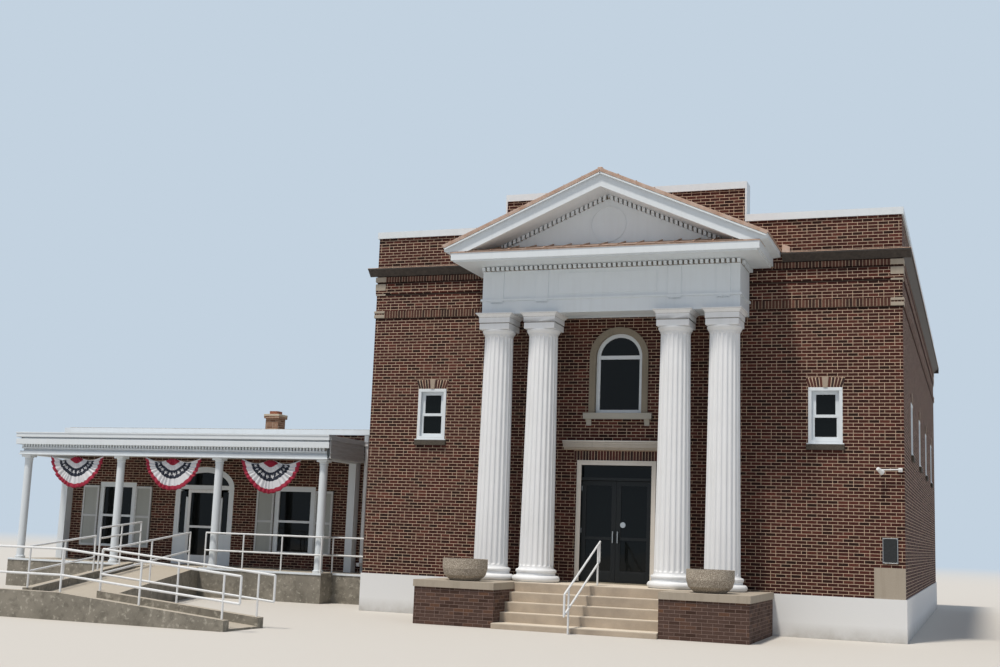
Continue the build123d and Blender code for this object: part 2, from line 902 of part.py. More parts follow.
with BuildPart() as portico_roof:
    for side in (-1, 1):
        reach = rake_tip + copper_proud
        with BuildSketch(facade(0)):
            with BuildLine():
                Polyline(
                    (side * seam, rake_apex - seam * rake_rise),
                    (side * rake_tip, tip_top),
                    (side * reach, rake_apex - reach * rake_rise),
                    (side * reach, rake_apex - reach * rake_rise + copper),
                    (side * seam, rake_apex + copper - seam * rake_rise),
                    close=True,
                )
            make_face()
        extrude(amount=rake_front + copper_proud)
keep(portico_roof.part, "portico_roof")

# Handrail of the steps: a bent loop of pipe, its rails sloping with the steps, on two posts
rail_slope = (rail_top_z - rail_foot_z) / (rail_foot_y - rail_top_y)


def pipe_run(start, end, diameter):
    """A straight round pipe between two points, added to the part at hand."""
    direction = Vector(*end) - Vector(*start)
    with BuildSketch(Plane(origin=start, z_dir=direction.normalized())) as ring:
        Circle(diameter / 2)
    extrude(ring.sketch, amount=direction.length)


def rail_height(y):
    """Height of the top pipe's line at depth y in front of the wall."""
    return rail_top_z - (y - rail_top_y) * rail_slope


rail_mid_y = (rail_top_y + rail_foot_y) / 2
with BuildPart() as stair_handrail:
    with BuildLine(section(rail_x)) as loop:
        Polyline(
            (-rail_mid_y, rail_height(rail_mid_y)),
            (-rail_top_y, rail_top_z),
            (-rail_top_y, rail_top_z - rail_drop),
            (-rail_foot_y, rail_foot_z - rail_drop),
            (-rail_foot_y, rail_foot_z),
            close=True,
        )
    with BuildSketch(Plane(origin=loop.wire() @ 0, z_dir=loop.wire() % 0)):
        Circle(pipe / 2)
    sweep(path=loop.wire(), transition=Transition.RIGHT)
    for y, foot in ((rail_top_y + rail_post_inset, platform_top), (rail_foot_post_y, 0)):
        pipe_run((rail_x, -y, foot), (rail_x, -y, rail_height(y)), rail_post)
keep(stair_handrail.part, "stair_handrail")

# Planter bowls on the piers
with BuildPart() as bowl:
    with BuildSketch(Plane.XZ):
        with BuildLine():
            inner_radius = planter_radius - planter_wall
            rim = platform_top + planter_height
            Polyline(
                (0, platform_top),
                (planter_foot, platform_top),
                (planter_radius - planter_wall / 2, platform_top + planter_belly),
                (planter_radius, platform_top + planter_shoulder),
                (planter_radius, rim),
                (inner_radius, rim),
                (inner_radius, platform_top + planter_shoulder),
                (planter_foot - planter_wall / 2, platform_top + planter_wall),
                (0, platform_top + planter_wall),
                close=True,
            )
        make_face()
    revolve(axis=Axis.Z)

with BuildPart() as planters:
    with Locations((-planter_x, -planter_y), (planter_x, -planter_y)):
        add(bowl.part)
keep(planters.part, "planters")

# Wing: podium, walls with a shuttered window each side of an arched doorway
wing_right = block_half + base_proud
wing_back = wing_front + wing_depth
with BuildPart() as wing_podium:
    box(-wing_left, -wing_right, wing_front, wing_back, 0, deck_top)
keep(wing_podium.part, "wing_podium")

entry_left = entry_x + entry_half
entry_right = entry_x - entry_half
for name, left, right, window in (
    ("wing_front_left", wing_left, entry_left, wing_window_left),
    ("wing_front_right", entry_right, block_half, wing_window_right),
):
    with BuildPart() as wing_wall_piece:
        with BuildSketch(facade(wing_front + wing_wall)):
            pane(-left, -right, deck_top, wing_roof_bottom)
            pane(
                -window - wing_window_half,
                -window + wing_window_half,
                wing_window_bottom,
                wing_window_top,
                Mode.SUBTRACT,
            )
            if window == wing_window_right:
                pane(-side_door_left, -side_door_right, deck_top, side_door_top, Mode.SUBTRACT)
        extrude(amount=wing_wall)
        if window == wing_window_right:
            wall_back = wing_front + wing_wall
            box(-wing_right, -block_half, wing_front, wall_back, deck_top, base_top, Mode.SUBTRACT)
    keep(wing_wall_piece.part, name)

with BuildPart() as wing_over_door:
    with BuildSketch(facade(wing_front + wing_wall)):
        pane(-entry_left, -entry_right, entry_spring, wing_roof_bottom)
        with Locations((-entry_x, entry_spring)):
            Ellipse(entry_half, entry_rise, mode=Mode.SUBTRACT)
    extrude(amount=wing_wall)
keep(wing_over_door.part, "wing_over_door")

with BuildPart() as wing_left_wall:
    box(
        -wing_left,
        -wing_left + wing_wall,
        wing_front + wing_wall,
        wing_back - wing_wall,
        deck_top,
        wing_roof_bottom,
    )
keep(wing_left_wall.part, "wing_left_wall")

with BuildPart() as wing_rear_wall:
    with BuildSketch(facade(wing_back)):
        pane(-wing_left, -wing_right, deck_top, wing_roof_bottom)
        for x in (wing_window_left, wing_window_right):
            with Locations((-x, (wing_window_bottom + wing_window_top) / 2)):
                Rectangle(2 * wing_window_half, wing_window_top - wing_window_bottom, mode=Mode.SUBTRACT)
    extrude(amount=wing_wall)
keep(wing_rear_wall.part, "wing_rear_wall")

with BuildPart() as wing_roof:
    box(
        -wing_left - side_overhang,
        -block_half,
        wing_front - wing_overhang,
        wing_back + wing_overhang,
        wing_roof_bottom,
        wing_roof_bottom + wing_roof_thick,
    )
keep(wing_roof.part, "wing_roof")

with BuildPart() as chimney:
    half = chimney_width / 2
    roof_face = wing_roof_bottom + wing_roof_thick
    stack_top = chimney_top - chimney_cap
    box(-chimney_x - half, -chimney_x + half, chimney_y - half, chimney_y + half, roof_face, stack_top)
    box(
        -chimney_x - half - chimney_lip,
        -chimney_x + half + chimney_lip,
        chimney_y - half - chimney_lip,
        chimney_y + half + chimney_lip,
        chimney_top - chimney_cap,
        chimney_top,
    )
    box(
        -chimney_x - chimney_flue,
        -chimney_x + chimney_flue,
        chimney_y - chimney_flue,
        chimney_y + chimney_flue,
        chimney_top - chimney_cap,
        chimney_top,
        Mode.SUBTRACT,
    )
keep(chimney.part, "chimney")

# Wing windows: cased frames with two sashes, panes and shutters
wing_light_half = wing_window_half - wing_frame
wing_sash_top = wing_window_top - wing_frame
wing_light_height = (wing_sash_top - wing_window_bottom - 2 * sash_frame) / 2
wing_low_light = wing_window_bottom + sash_frame + wing_light_height / 2
wing_high_light = wing_sash_top - wing_light_height / 2
wing_frame_planes = []
for x in (wing_window_left, wing_window_right):
    wing_frame_planes.append((facade(wing_front + sash_depth), -x))
    wing_frame_planes.append(
        (Plane(origin=(0, wing_back - sash_depth, 0), x_dir=(-1, 0, 0), z_dir=(0, 1, 0)), x)
    )
side_light = (
    -side_door_left + sash_frame,
    -side_door_right - sash_frame,
    deck_top + leaf_bottom_rail,
    side_door_top - sash_frame,
)
with BuildPart() as window_frames:
    for plane, along in wall_planes:
        with BuildSketch(plane):
            with Locations((along, sash_mid)):
                Rectangle(2 * sash_half, sash_top - sash_bottom)
            with Locations((along, sash_mid - light_rise), (along, sash_mid + light_rise)):
                Rectangle(2 * light_half, light_height, mode=Mode.SUBTRACT)
        extrude(amount=sash_depth)
    with BuildSketch(facade(arch_stone_depth)):
        add(arch_face(0, arch_inner, arch_sill_top, arch_spring))
        add(arch_face(0, arch_light, arch_sill_top + arch_frame, arch_spring), mode=Mode.SUBTRACT)
        bar_end = arch_inner - arch_frame / 2
        pane(-bar_end, bar_end, arch_spring - arch_frame / 2, arch_spring + arch_frame / 2)
    extrude(amount=sash_depth)
    for plane, along in wing_frame_planes:
        with BuildSketch(plane):
            pane(along - wing_window_half, along + wing_window_half, wing_window_bottom, wing_window_top)
            with Locations((along, wing_low_light), (along, wing_high_light)):
                Rectangle(2 * wing_light_half, wing_light_height, mode=Mode.SUBTRACT)
        extrude(amount=sash_depth)
    with BuildSketch(facade(wing_front + sash_depth)):
        pane(-side_door_left, -side_door_right, deck_top, side_door_top)
        pane(*side_light, Mode.SUBTRACT)
    extrude(amount=sash_depth)
keep(window_frames.part, "window_frames")

fan_foot = entry_leaf_top + entry_transom
side_light_out = entry_half - entry_trim
side_light_in = entry_leaf_half + entry_post
side_lights = [
    (-entry_x - side_light_out, -entry_x - side_light_in),
    (-entry_x + side_light_in, -entry_x + side_light_out),
]
entry_frame_back = wing_front + entry_frame_depth
with BuildPart() as entry_frame:
    with BuildSketch(facade(entry_frame_back)):
        pane(-entry_left, -entry_right, deck_top, entry_spring)
        with Locations((-entry_x, entry_spring)):
            Ellipse(entry_half, entry_rise)
            Ellipse(entry_half - entry_trim, entry_rise - entry_trim, mode=Mode.SUBTRACT)
        pane(-entry_left + entry_trim, -entry_right - entry_trim, entry_leaf_top, fan_foot)
        pane(
            -entry_x - entry_leaf_half,
            -entry_x + entry_leaf_half,
            deck_top,
            entry_leaf_top,
            Mode.SUBTRACT,
        )
        for low, high in side_lights:
            pane(low, high, side_light_foot, entry_leaf_top - entry_post, Mode.SUBTRACT)
    extrude(amount=entry_frame_depth)
keep(entry_frame.part, "entry_frame")

# Panes of all the fixed lights
with BuildPart() as window_panes:
    for plane, along in wall_planes:
        with BuildSketch(plane.offset((sash_depth - glass_thick) / 2)):
            with Locations((along, sash_mid - light_rise), (along, sash_mid + light_rise)):
                Rectangle(2 * light_half, light_height)
        extrude(amount=glass_thick)
    arch_glass = facade(arch_stone_depth - sash_depth / 2)
    with BuildSketch(arch_glass):
        pane(-arch_light, arch_light, arch_sill_top + arch_frame, arch_spring - arch_frame / 2)
    extrude(amount=glass_thick)
    with BuildSketch(arch_glass):
        with Locations((0, arch_spring)):
            Circle(arch_light)
        pane(-arch_inner, arch_inner, arch_spring - arch_inner, arch_spring + arch_frame / 2, Mode.SUBTRACT)
    extrude(amount=glass_thick)
    with BuildSketch(facade(leaf_back)):
        pane(-opening_half, opening_half, light_bottom, light_top)
    extrude(amount=glass_thick)
    for plane, along in wing_frame_planes:
        with BuildSketch(plane.offset((sash_depth - glass_thick) / 2)):
            with Locations((along, wing_low_light), (along, wing_high_light)):
                Rectangle(2 * wing_light_half, wing_light_height)
        extrude(amount=glass_thick)
    with BuildSketch(facade(wing_front + sash_depth / 2)):
        pane(*side_light)
        with Locations((-entry_x, entry_spring)):
            Ellipse(entry_half - entry_trim, entry_rise - entry_trim)
        pane(-entry_left, -entry_right, entry_spring - entry_rise, fan_foot, Mode.SUBTRACT)
        for low, high in side_lights:
            pane(low, high, side_light_foot, entry_leaf_top - entry_post)
    extrude(amount=glass_thick)
keep(window_panes.part, "window_panes")

entry_bottom = deck_top + door_gap
entry_top = entry_leaf_top - door_gap
entry_mid = (entry_bottom + entry_top) / 2
with BuildPart() as wing_door:
    low = -entry_x - entry_leaf_half + door_gap
    high = -entry_x + entry_leaf_half - door_gap
    with BuildSketch(facade(wing_front + entry_leaf_thick)):
        pane(low, high, entry_bottom, entry_top)
        pane(
            low + entry_leaf_stile,
            high - entry_leaf_stile,
            entry_bottom + leaf_bottom_rail,
            entry_mid - leaf_mid_rail / 2,
            Mode.SUBTRACT,
        )
        pane(
            low + entry_leaf_stile,
            high - entry_leaf_stile,
            entry_mid + leaf_mid_rail / 2,
            entry_top - entry_leaf_stile,
            Mode.SUBTRACT,
        )
    extrude(amount=entry_leaf_thick)
    with Locations((high - entry_leaf_stile / 2, wing_front - pull_reach / 2, entry_mid)):
        Box(pull_diameter, pull_reach, pull_diameter)
    with Locations((high - entry_leaf_stile, wing_front - pull_reach, entry_mid)):
        Box(entry_leaf_stile + pull_diameter, pull_diameter, pull_diameter)
keep(wing_door.part, "wing_door")

with BuildPart() as wing_door_glass:
    with BuildSketch(facade(wing_front + (entry_leaf_thick + glass_thick) / 2)):
        pane(
            low + entry_leaf_stile,
            high - entry_leaf_stile,
            entry_bottom + leaf_bottom_rail,
            entry_mid - leaf_mid_rail / 2,
        )
        pane(
            low + entry_leaf_stile,
            high - entry_leaf_stile,
            entry_mid + leaf_mid_rail / 2,
            entry_top - entry_leaf_stile,
        )
    extrude(amount=glass_thick)
keep(wing_door_glass.part, "wing_door_glass")

with BuildPart() as shutters:
    with BuildSketch(facade(wing_front)):
        for x in (wing_window_left, wing_window_right):
            for side in (-1, 1):
                centre = -x + side * (wing_window_half + shutter_gap + shutter_width / 2)
                with Locations((centre, (wing_window_bottom + shutter_top) / 2)):
                    Rectangle(shutter_width, shutter_top - wing_window_bottom)
    extrude(amount=shutter_thick)
    with BuildSketch(facade(wing_front - shutter_thick)):
        for x in (wing_window_left, wing_window_right):
            for side in (-1, 1):
                centre = -x + side * (wing_window_half + shutter_gap + shutter_width / 2)
                panel_height = (shutter_top - wing_window_bottom - 3 * shutter_rail) / 2
                for share in (-1, 1):
                    middle = (wing_window_bottom + shutter_top) / 2
                    with Locations((centre, middle + share * (panel_height + shutter_rail) / 2)):
                        Rectangle(shutter_width - 2 * shutter_rail, panel_height)
    extrude(amount=-shutter_panel_depth, mode=Mode.SUBTRACT)
keep(shutters.part, "shutters")

# Porch: deck, round columns, wall pilasters, beams with a dentil row, and a cornice roof
porch_left = porch_first + (porch_count - 1) * porch_bay + porch_beam_thick / 2
porch_right = porch_first - porch_beam_thick / 2
with BuildPart() as porch_deck:
    with BuildSketch(level(0)):
        with BuildLine():
            Polyline(
                (-wing_left - side_overhang, wing_front),
                (-wing_left - side_overhang, porch_front),
                (-porch_end, porch_front),
                (-porch_end, link_front),
                (-wing_right, link_front),
                (-wing_right, wing_front),
                close=True,
            )
        make_face()
    extrude(amount=deck_top)
keep(porch_deck.part, "porch_deck")

with BuildPart() as porch_columns:
    with Locations([(-porch_first - i * porch_bay, porch_line, deck_top) for i in range(porch_count)]):
        Cylinder(
            porch_radius,
            porch_beam_bottom - deck_top,
            align=(Align.CENTER, Align.CENTER, Align.MIN),
        )
        Cylinder(
            porch_radius + porch_base_reach,
            porch_cap_height,
            align=(Align.CENTER, Align.CENTER, Align.MIN),
        )
    cap_foot = porch_beam_bottom - porch_cap_height
    with Locations([(-porch_first - i * porch_bay, porch_line, cap_foot) for i in range(porch_count)]):
        Box(
            2 * porch_cap,
            2 * porch_cap,
            porch_cap_height,
            align=(Align.CENTER, Align.CENTER, Align.MIN),
        )
    for x in (-porch_first, -porch_first - (porch_count - 1) * porch_bay):
        box(
            x - porch_radius,
            x + porch_radius,
            wing_front - pilaster_depth,
            wing_front,
            deck_top,
            porch_beam_bottom,
        )
keep(porch_columns.part, "porch_columns")

beam_y = porch_line - porch_beam_thick / 2
with BuildPart() as porch_beams:
    box(-porch_left, -porch_right, beam_y, beam_y + porch_beam_thick, porch_beam_bottom, porch_beam_top)
    for x in (-porch_left, -porch_right - porch_beam_thick):
        box(
            x,
            x + porch_beam_thick,
            beam_y + porch_beam_thick + seam,
            wing_front,
            porch_beam_bottom,
            porch_beam_top,
        )
    porch_dentils = int((porch_left - porch_right) / porch_dentil_pitch) - 1
    middle = -(porch_left + porch_right) / 2
    with Locations((middle, beam_y, porch_beam_top - porch_dentil / 2)):
        with GridLocations(porch_dentil_pitch, 0, porch_dentils, 1):
            Box(porch_dentil, porch_dentil, porch_dentil)
keep(porch_beams.part, "porch_beams")

with BuildPart() as porch_roof:
    half_height = (porch_beam_top + porch_cornice_top) / 2
    for foot, head, reach in (
        (porch_beam_top, half_height - porch_reveal, porch_bed_reach),
        (half_height - porch_reveal, half_height, porch_bed_reach - porch_reveal / 2),
        (half_height, porch_cornice_top, porch_cornice_reach),
    ):
        box(-porch_left - reach, -porch_right + reach, beam_y - reach, wing_front, foot, head)
keep(porch_roof.part, "porch_roof")

# Downspout beside the porch
with BuildPart() as downspout:
    box(
        -spout_x - spout_width,
        -spout_x,
        wing_front - spout_width,
        wing_front,
        deck_top + spout_foot,
        wing_roof_bottom,
    )
    box(
        -spout_x - spout_width,
        -spout_x,
        wing_front - spout_width - spout_foot,
        wing_front - spout_width,
        deck_top + spout_foot,
        deck_top + spout_foot + spout_width,
    )
keep(downspout.part, "downspout")


def railing(line, top, low, posts, slope=0):
    """Two pipes over a foot line, and posts whose cut feet stand on that slope."""
    for height in (top, low):
        for start, end in zip(line, line[1:]):
            pipe_run((*start[:2], start[2] + height), (*end[:2], end[2] + height), pipe)
    for point in posts:
        pipe_run((*point[:2], point[2] + slope * rail_post / 2), (*point[:2], point[2] + top), rail_post)


def between(start, end, share):
    """Point at a share of the way from start to end."""
    return tuple(a + (b - a) * share for a, b in zip(start, end))


# Porch railing: along the deck's edge, back at its corner, and on to the main block
deck_edge = porch_front + deck_rail_inset
link_edge = link_front + deck_rail_inset
rail_corner = -porch_end - deck_rail_inset
with BuildPart() as porch_railing:
    rail_line = [
        (-deck_rail_start, deck_edge, deck_top),
        (rail_corner, deck_edge, deck_top),
        (rail_corner, link_edge, deck_top),
        (-wing_right - deck_rail_inset, link_edge, deck_top),
    ]
    rail_posts = [between(rail_line[0], rail_line[1], share) for share in (0, 1 / 3, 2 / 3, 1)]
    rail_posts += [between(rail_line[2], rail_line[3], share) for share in (0, 1 / 2, 1)]
    railing(rail_line, deck_rail_top, deck_rail_mid, rail_posts)
keep(porch_railing.part, "porch_railing")

# Ramp
back_length = math.hypot(back_reach_x, back_reach_y)
back_x = -back_reach_x / back_length
back_y = back_reach_y / back_length
flight = Plane(origin=(-ramp_turn, -ramp_back, 0), x_dir=(back_x, back_y, 0), z_dir=(back_y, -back_x, 0))
flight_end = back_length + back_width / 2
flight_rise = (deck_top - ramp_high) / back_length
with BuildPart() as ramp:
    with BuildSketch(facade(-ramp_back)) as slope:
        with BuildLine():
            Polyline(
                (-ramp_foot, 0),
                (-ramp_foot, ramp_low),
                (-ramp_turn, ramp_high),
                (-ramp_end, ramp_high),
                (-ramp_end, 0),
                close=True,
            )
        make_face()
    extrude(amount=ramp_front - ramp_back)
    for y, left in ((-ramp_front + curb_wide, ramp_end), (-ramp_back, ramp_turn)):
        with BuildSketch(facade(y)):
            with BuildLine():
                Polyline(
                    (-ramp_foot, 0),
                    (-ramp_foot, ramp_low + curb_high),
                    (-ramp_turn, ramp_high + curb_high),
                    (-left - seam, ramp_high + curb_high),
                    (-left - seam, 0),
                    close=True,
                )
            make_face()
        extrude(amount=curb_wide)
    with BuildSketch(flight):
        with BuildLine():
            Polyline(
                (0, 0),
                (0, ramp_high),
                (flight_end, ramp_high + flight_end * flight_rise),
                (flight_end, 0),
                close=True,
            )
        make_face()
    extrude(amount=-back_width)
    with BuildSketch(flight.offset(curb_wide - back_width)):
        with BuildLine():
            Polyline(
                (0, 0),
                (0, ramp_high + curb_high),
                (flight_end, ramp_high + curb_high + flight_end * flight_rise),
                (flight_end, 0),
                close=True,
            )
        make_face()
    extrude(amount=-curb_wide)
    box(-wing_left, -porch_end, porch_front, wing_front, 0, deck_top + deck_rail_top, Mode.SUBTRACT)
    box(
        -wing_left,
        -porch_end,
        porch_front - back_width,
        porch_front,
        deck_top,
        deck_top + deck_rail_top,
        Mode.SUBTRACT,
    )
keep(ramp.part, "ramp")


def on_flight(along, across, lift):
    """Point on the back flight's slope: along it, across from its right edge, and lifted."""
    x = -ramp_turn + along * back_x - across * back_y
    y = -ramp_back + along * back_y + across * back_x
    return (x, y, ramp_high + along * flight_rise + lift)


# Ramp railings: outer and inner guards of the front flight, then the guards of the back flight
guard_edge = curb_wide / 2
with BuildPart() as ramp_railing:
    for y, left in ((-ramp_front + guard_edge, ramp_end - guard_edge), (-ramp_back - guard_edge, ramp_turn)):
        rise = (ramp_high - ramp_low) / (ramp_turn - ramp_foot)
        head = (-ramp_turn, y, ramp_high + curb_high)
        foot = (-ramp_foot - guard_edge, y, ramp_low + curb_high + guard_edge * rise)
        tip = (foot[0] + guard_overrun, y, foot[2] - guard_overrun * rise)
        posts = [between(head, foot, i / (guard_posts - 1)) for i in range(guard_posts)]
        line = [head, tip] if left == ramp_turn else [(-left, y, head[2]), head, tip]
        if left > ramp_turn:
            posts.append(line[0])
        railing(line, guard_top, guard_low, posts, rise)
        pipe_run((*tip[:2], tip[2] + guard_low), (*tip[:2], tip[2] + guard_top), pipe)
    right_line = [
        on_flight(guard_edge, guard_edge, 0),
        on_flight(back_length - back_width / 2, guard_edge, 0),
    ]
    right_posts = [between(*right_line, i / 2) for i in range(3)]
    railing(right_line, inner_guard_top, inner_guard_low, right_posts, flight_rise)
    half_way = back_length / 2
    left_edge = back_width - guard_edge
    left_line = [on_flight(0, left_edge, curb_high), on_flight(half_way, left_edge, curb_high)]
    left_posts = [between(*left_line, i / 2) for i in range(3)]
    railing(left_line, guard_top, guard_low, left_posts, flight_rise)
    upper_line = [
        on_flight(half_way + guard_overrun, left_edge, curb_high),
        on_flight(back_length - guard_overrun, left_edge, curb_high),
    ]
    upper_posts = [between(*upper_line, i / 2) for i in range(3)]
    railing(upper_line, upper_guard_top, upper_guard_low, upper_posts, flight_rise)
keep(ramp_railing.part, "ramp_railing")

# Bunting fans
with BuildPart() as bunting:
    with BuildSketch(facade(beam_y + bunting_thick)):
        for x in bunting_places:
            with Locations((-x, porch_beam_bottom)):
                Ellipse(bunting_half, bunting_drop)
        pane(-wing_left, -porch_end, porch_beam_bottom, porch_beam_bottom + bunting_drop, Mode.SUBTRACT)
    extrude(amount=bunting_thick)
keep(bunting.part, "bunting")
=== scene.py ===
"""Town hall building: finishes, turned and fluted columns, trim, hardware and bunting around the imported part.

Laid out as an add-on panel of pieces, and run as a script. Metres, in the frame of the part:
the origin lies on the ground below the front door, +X runs right along the front, +Y into the building.
"""

import math

import bmesh
import bpy
from mathutils import Matrix, Vector, noise


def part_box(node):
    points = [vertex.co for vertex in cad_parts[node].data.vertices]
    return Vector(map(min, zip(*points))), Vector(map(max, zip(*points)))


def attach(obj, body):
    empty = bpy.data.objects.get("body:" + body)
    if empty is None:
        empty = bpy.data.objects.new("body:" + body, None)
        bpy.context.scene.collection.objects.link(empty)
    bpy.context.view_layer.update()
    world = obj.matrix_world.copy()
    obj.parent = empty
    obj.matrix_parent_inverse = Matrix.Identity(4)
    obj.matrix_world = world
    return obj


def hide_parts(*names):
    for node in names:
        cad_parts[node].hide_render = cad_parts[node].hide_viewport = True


bl_info = {
    "name": "Town hall",
    "version": (1, 0, 0),
    "blender": (4, 5, 0),
    "location": "View3D > Sidebar > Town hall",
    "description": "Finishes, columns, trim, hardware and bunting of a brick town hall",
    "category": "Object",
}

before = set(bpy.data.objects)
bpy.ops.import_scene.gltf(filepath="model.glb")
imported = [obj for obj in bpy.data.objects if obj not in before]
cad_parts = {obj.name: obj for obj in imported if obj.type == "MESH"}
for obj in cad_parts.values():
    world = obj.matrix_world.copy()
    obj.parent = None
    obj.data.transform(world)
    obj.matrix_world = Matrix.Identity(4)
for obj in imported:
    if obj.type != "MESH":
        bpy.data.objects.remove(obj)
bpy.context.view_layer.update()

# Places on the frame that several pieces share
COLUMN_SPOTS = (-2.44, -1.43, 1.43, 2.44)
COLUMN_LINE = -0.885
PLATFORM_TOP = 0.856
FRIEZE_FACE = -1.10
BLOCK_HALF = 5.85
BLOCK_DEPTH = 18.0
# The gable rises this much in a metre; its peak, its slope in radians, and a rake's length
RAKE_RISE, RAKE_PEAK = 0.4338, 9.312
RAKE_SLOPE = math.atan(RAKE_RISE)
RAKE_RUN = 3.43 / math.cos(RAKE_SLOPE)
# Heights of the corners under the ledge and the projecting brick bands, where a dark line of painted shadow lies on the
# brick
BAND_SHADE_HEIGHTS = ((6.605, 6.638), (7.160, 7.208), (7.442, 7.483), (7.602, 7.640))
SASH_HEAD = 4.99
DECK_TOP = 0.713
PORCH_COLUMNS = (-16.68, -13.72, -10.76, -7.80)
PORCH_LINE = 1.56
SASHES = [("front", -4.33), ("front", 4.33), ("left", 15.775), ("rear", -4.33), ("rear", 0.0), ("rear", 4.33)]
SASHES += [("right", y) for y in (3.15, 7.05, 10.95, 14.85)]


def linear(hex_colour):
    """An sRGB hex colour as the linear colour that nodes and lamps take."""
    parts = [int(hex_colour[i : i + 2], 16) / 255 for i in (1, 3, 5)]
    return [p / 12.92 if p <= 0.04045 else ((p + 0.055) / 1.055) ** 2.4 for p in parts] + [1.0]


def colour(name, hex_colour, description):
    """A colour that a user can change in the panel."""
    return bpy.props.FloatVectorProperty(
        name=name, description=description, default=linear(hex_colour), size=4, subtype="COLOR", min=0, max=1
    )


def length(name, metres, description):
    """A real size that a user can change in the panel."""
    return bpy.props.FloatProperty(name=name, description=description, default=metres, unit="LENGTH", min=0.0005)


class TownHallFinishes(bpy.types.PropertyGroup):
    """Colours and sizes of the finishes."""

    brick: colour("Brick", "#47231e", "Middle tone of the pressed face brick")
    brick_dark: colour("Dark brick", "#2b1a17", "Tone of the hardest burnt bricks")
    brick_light: colour("Light brick", "#613228", "Tone of the softest bricks")
    mortar: colour("Mortar", "#ceb8a1", "Lime and sand mortar of the walls")
    rough_brick: colour("Pier brick", "#58453e", "Middle tone of the rough brick in the stair piers")
    chimney_brick: colour("Chimney brick", "#9c7a66", "Common brick of the wing's chimney")
    paint: colour("White paint", "#d7dfe5", "Oil paint on wood and metal trim")
    base_paint: colour("Base paint", "#dcdedf", "Masonry paint on the raised base")
    limestone: colour("Limestone", "#a69d90", "Sawn limestone of the corner stones")
    concrete: colour("Step concrete", "#b9ab99", "Warm cast concrete of steps and pier caps")
    ramp_concrete: colour("Ramp concrete", "#8d887d", "Broomed concrete of ramp and deck")
    copper: colour("Copper", "#d8bba8", "Copper sheet a few years old")
    bronze: colour("Bronze metal", "#131618", "Dark anodised door frames")
    glass: colour("Glass", "#090d0d", "Window glass over a dark room")
    red: colour("Bunting red", "#9c1838", "Dyed red of the bunting")
    navy: colour("Bunting blue", "#171f31", "Dyed navy of the bunting")
    course: length("Brick course", 0.06773, "Height of one brick and one bed joint")
    stretcher: length("Stretcher", 0.2032, "Length of one brick and one head joint")
    joint: length("Mortar joint", 0.0095, "Width of a mortar joint")


class TownHallSizes(bpy.types.PropertyGroup):
    """Sizes of the turned, moulded and sewn pieces, and the strength of the light."""

    shaft_foot: length("Shaft foot radius", 0.360, "Radius of a portico column at its foot")
    shaft_head: length("Shaft head radius", 0.305, "Radius of a portico column under its capital")
    flute_depth: length("Flute depth", 0.024, "Depth of a flute")
    flutes: bpy.props.IntProperty(name="Flutes", description="Flutes around a column", default=20, min=8, max=32)
    bunting_half: length("Bunting half width", 0.83, "From the middle of a fan to its top corner")
    bunting_drop: length("Bunting drop", 0.84, "From the beam to the bottom hem")
    pleats: bpy.props.IntProperty(name="Pleats", description="Pleats across a fan", default=17, min=6, max=40)
    sun: bpy.props.FloatProperty(name="Key light", description="Strength of the soft key light", default=3.3, min=0)
    fill: bpy.props.FloatProperty(name="Fill light", description="Strength of the even fill", default=0.51, min=0)


def hall():
    """The panel's finishes and sizes."""
    scene = bpy.context.scene
    return scene.town_hall_finishes, scene.town_hall_sizes


# Shader building


def emptied(owner):
    """Clear the node tree of a material or world, and give the function that adds nodes to it."""
    owner.use_nodes = True
    tree = owner.node_tree
    tree.nodes.clear()

    def add(kind, *inputs, out=0, stops=(), **named):
        """Add one shader node, set and linked, and give one of its outputs, by place or name.

        A kind can be followed by its operation. Inputs go to the sockets in use, in order, or by their capitalised
        names; small names are the node's settings. A colour may be its sRGB hex. Textures follow the piece.
        """
        kind, *operation = kind.split()
        made = tree.nodes.new("ShaderNode" + kind)
        if operation:
            made.operation = operation[0]
        for name in [name for name in named if name[0].islower()]:
            setattr(made, name, named.pop(name))
        ramp = made.color_ramp.elements if stops else ()
        while len(ramp) < len(stops):
            ramp.new(1.0)
        for element, (place, shade) in zip(ramp, stops):
            element.position, element.color = place, linear(shade) if isinstance(shade, str) else shade
        in_use = [socket for socket in made.inputs if socket.enabled]
        for socket, value in [*zip(in_use, inputs), *((made.inputs[name], named[name]) for name in named)]:
            if isinstance(value, bpy.types.NodeSocket):
                tree.links.new(value, socket)
            elif value is not None:
                socket.default_value = linear(value) if isinstance(value, str) else value
        if kind.startswith("Tex") and kind != "TexCoord" and not made.inputs["Vector"].is_linked:
            tree.links.new(add("TexCoord", out="Object"), made.inputs["Vector"])
        outputs = made.outputs if isinstance(out, str) else [socket for socket in made.outputs if socket.enabled]
        return outputs[out] if outputs else None

    return add


def places(add):
    """Place on the piece in metres: rightwards, inwards and up."""
    return add("SeparateXYZ", add("TexCoord", out="Object")).node.outputs


def facing(add):
    """Which way the surface looks: rightwards, inwards and up."""
    return add("SeparateXYZ", add("NewGeometry", out="Normal")).node.outputs


def stained(add, under, over, pattern, low=None, high=None, most=1.0):
    """One colour over another: wholly by the pattern, or up to most of it where the pattern goes from low to high."""
    if low is not None:
        pattern = add("MapRange", pattern, low, high, 0.0, most)
    return add("Mix", pattern, under, over, data_type="RGBA")


def drawn(add, across, along, detail, roughness=0.5):
    """Noise drawn out one way: grains per metre on the level and upright."""
    place = add("Mapping", add("TexCoord", out="Object"), Scale=(across, across, along))
    return add("TexNoise", place, Scale=1.0, Detail=detail, Roughness=roughness)


def streaks(add):
    """Soft upright streaks that rain leaves on a painted or stone face."""
    return add("MapRange", drawn(add, 9.0, 0.7, 5.0, 0.6), 0.48, 0.78, 0.0, 1.0)


# Finishes. Each gives its colour, its bump and, where it varies, its roughness

FINISHES = {}
made_finishes = {}
DULL = {"Specular IOR Level": 0.2}


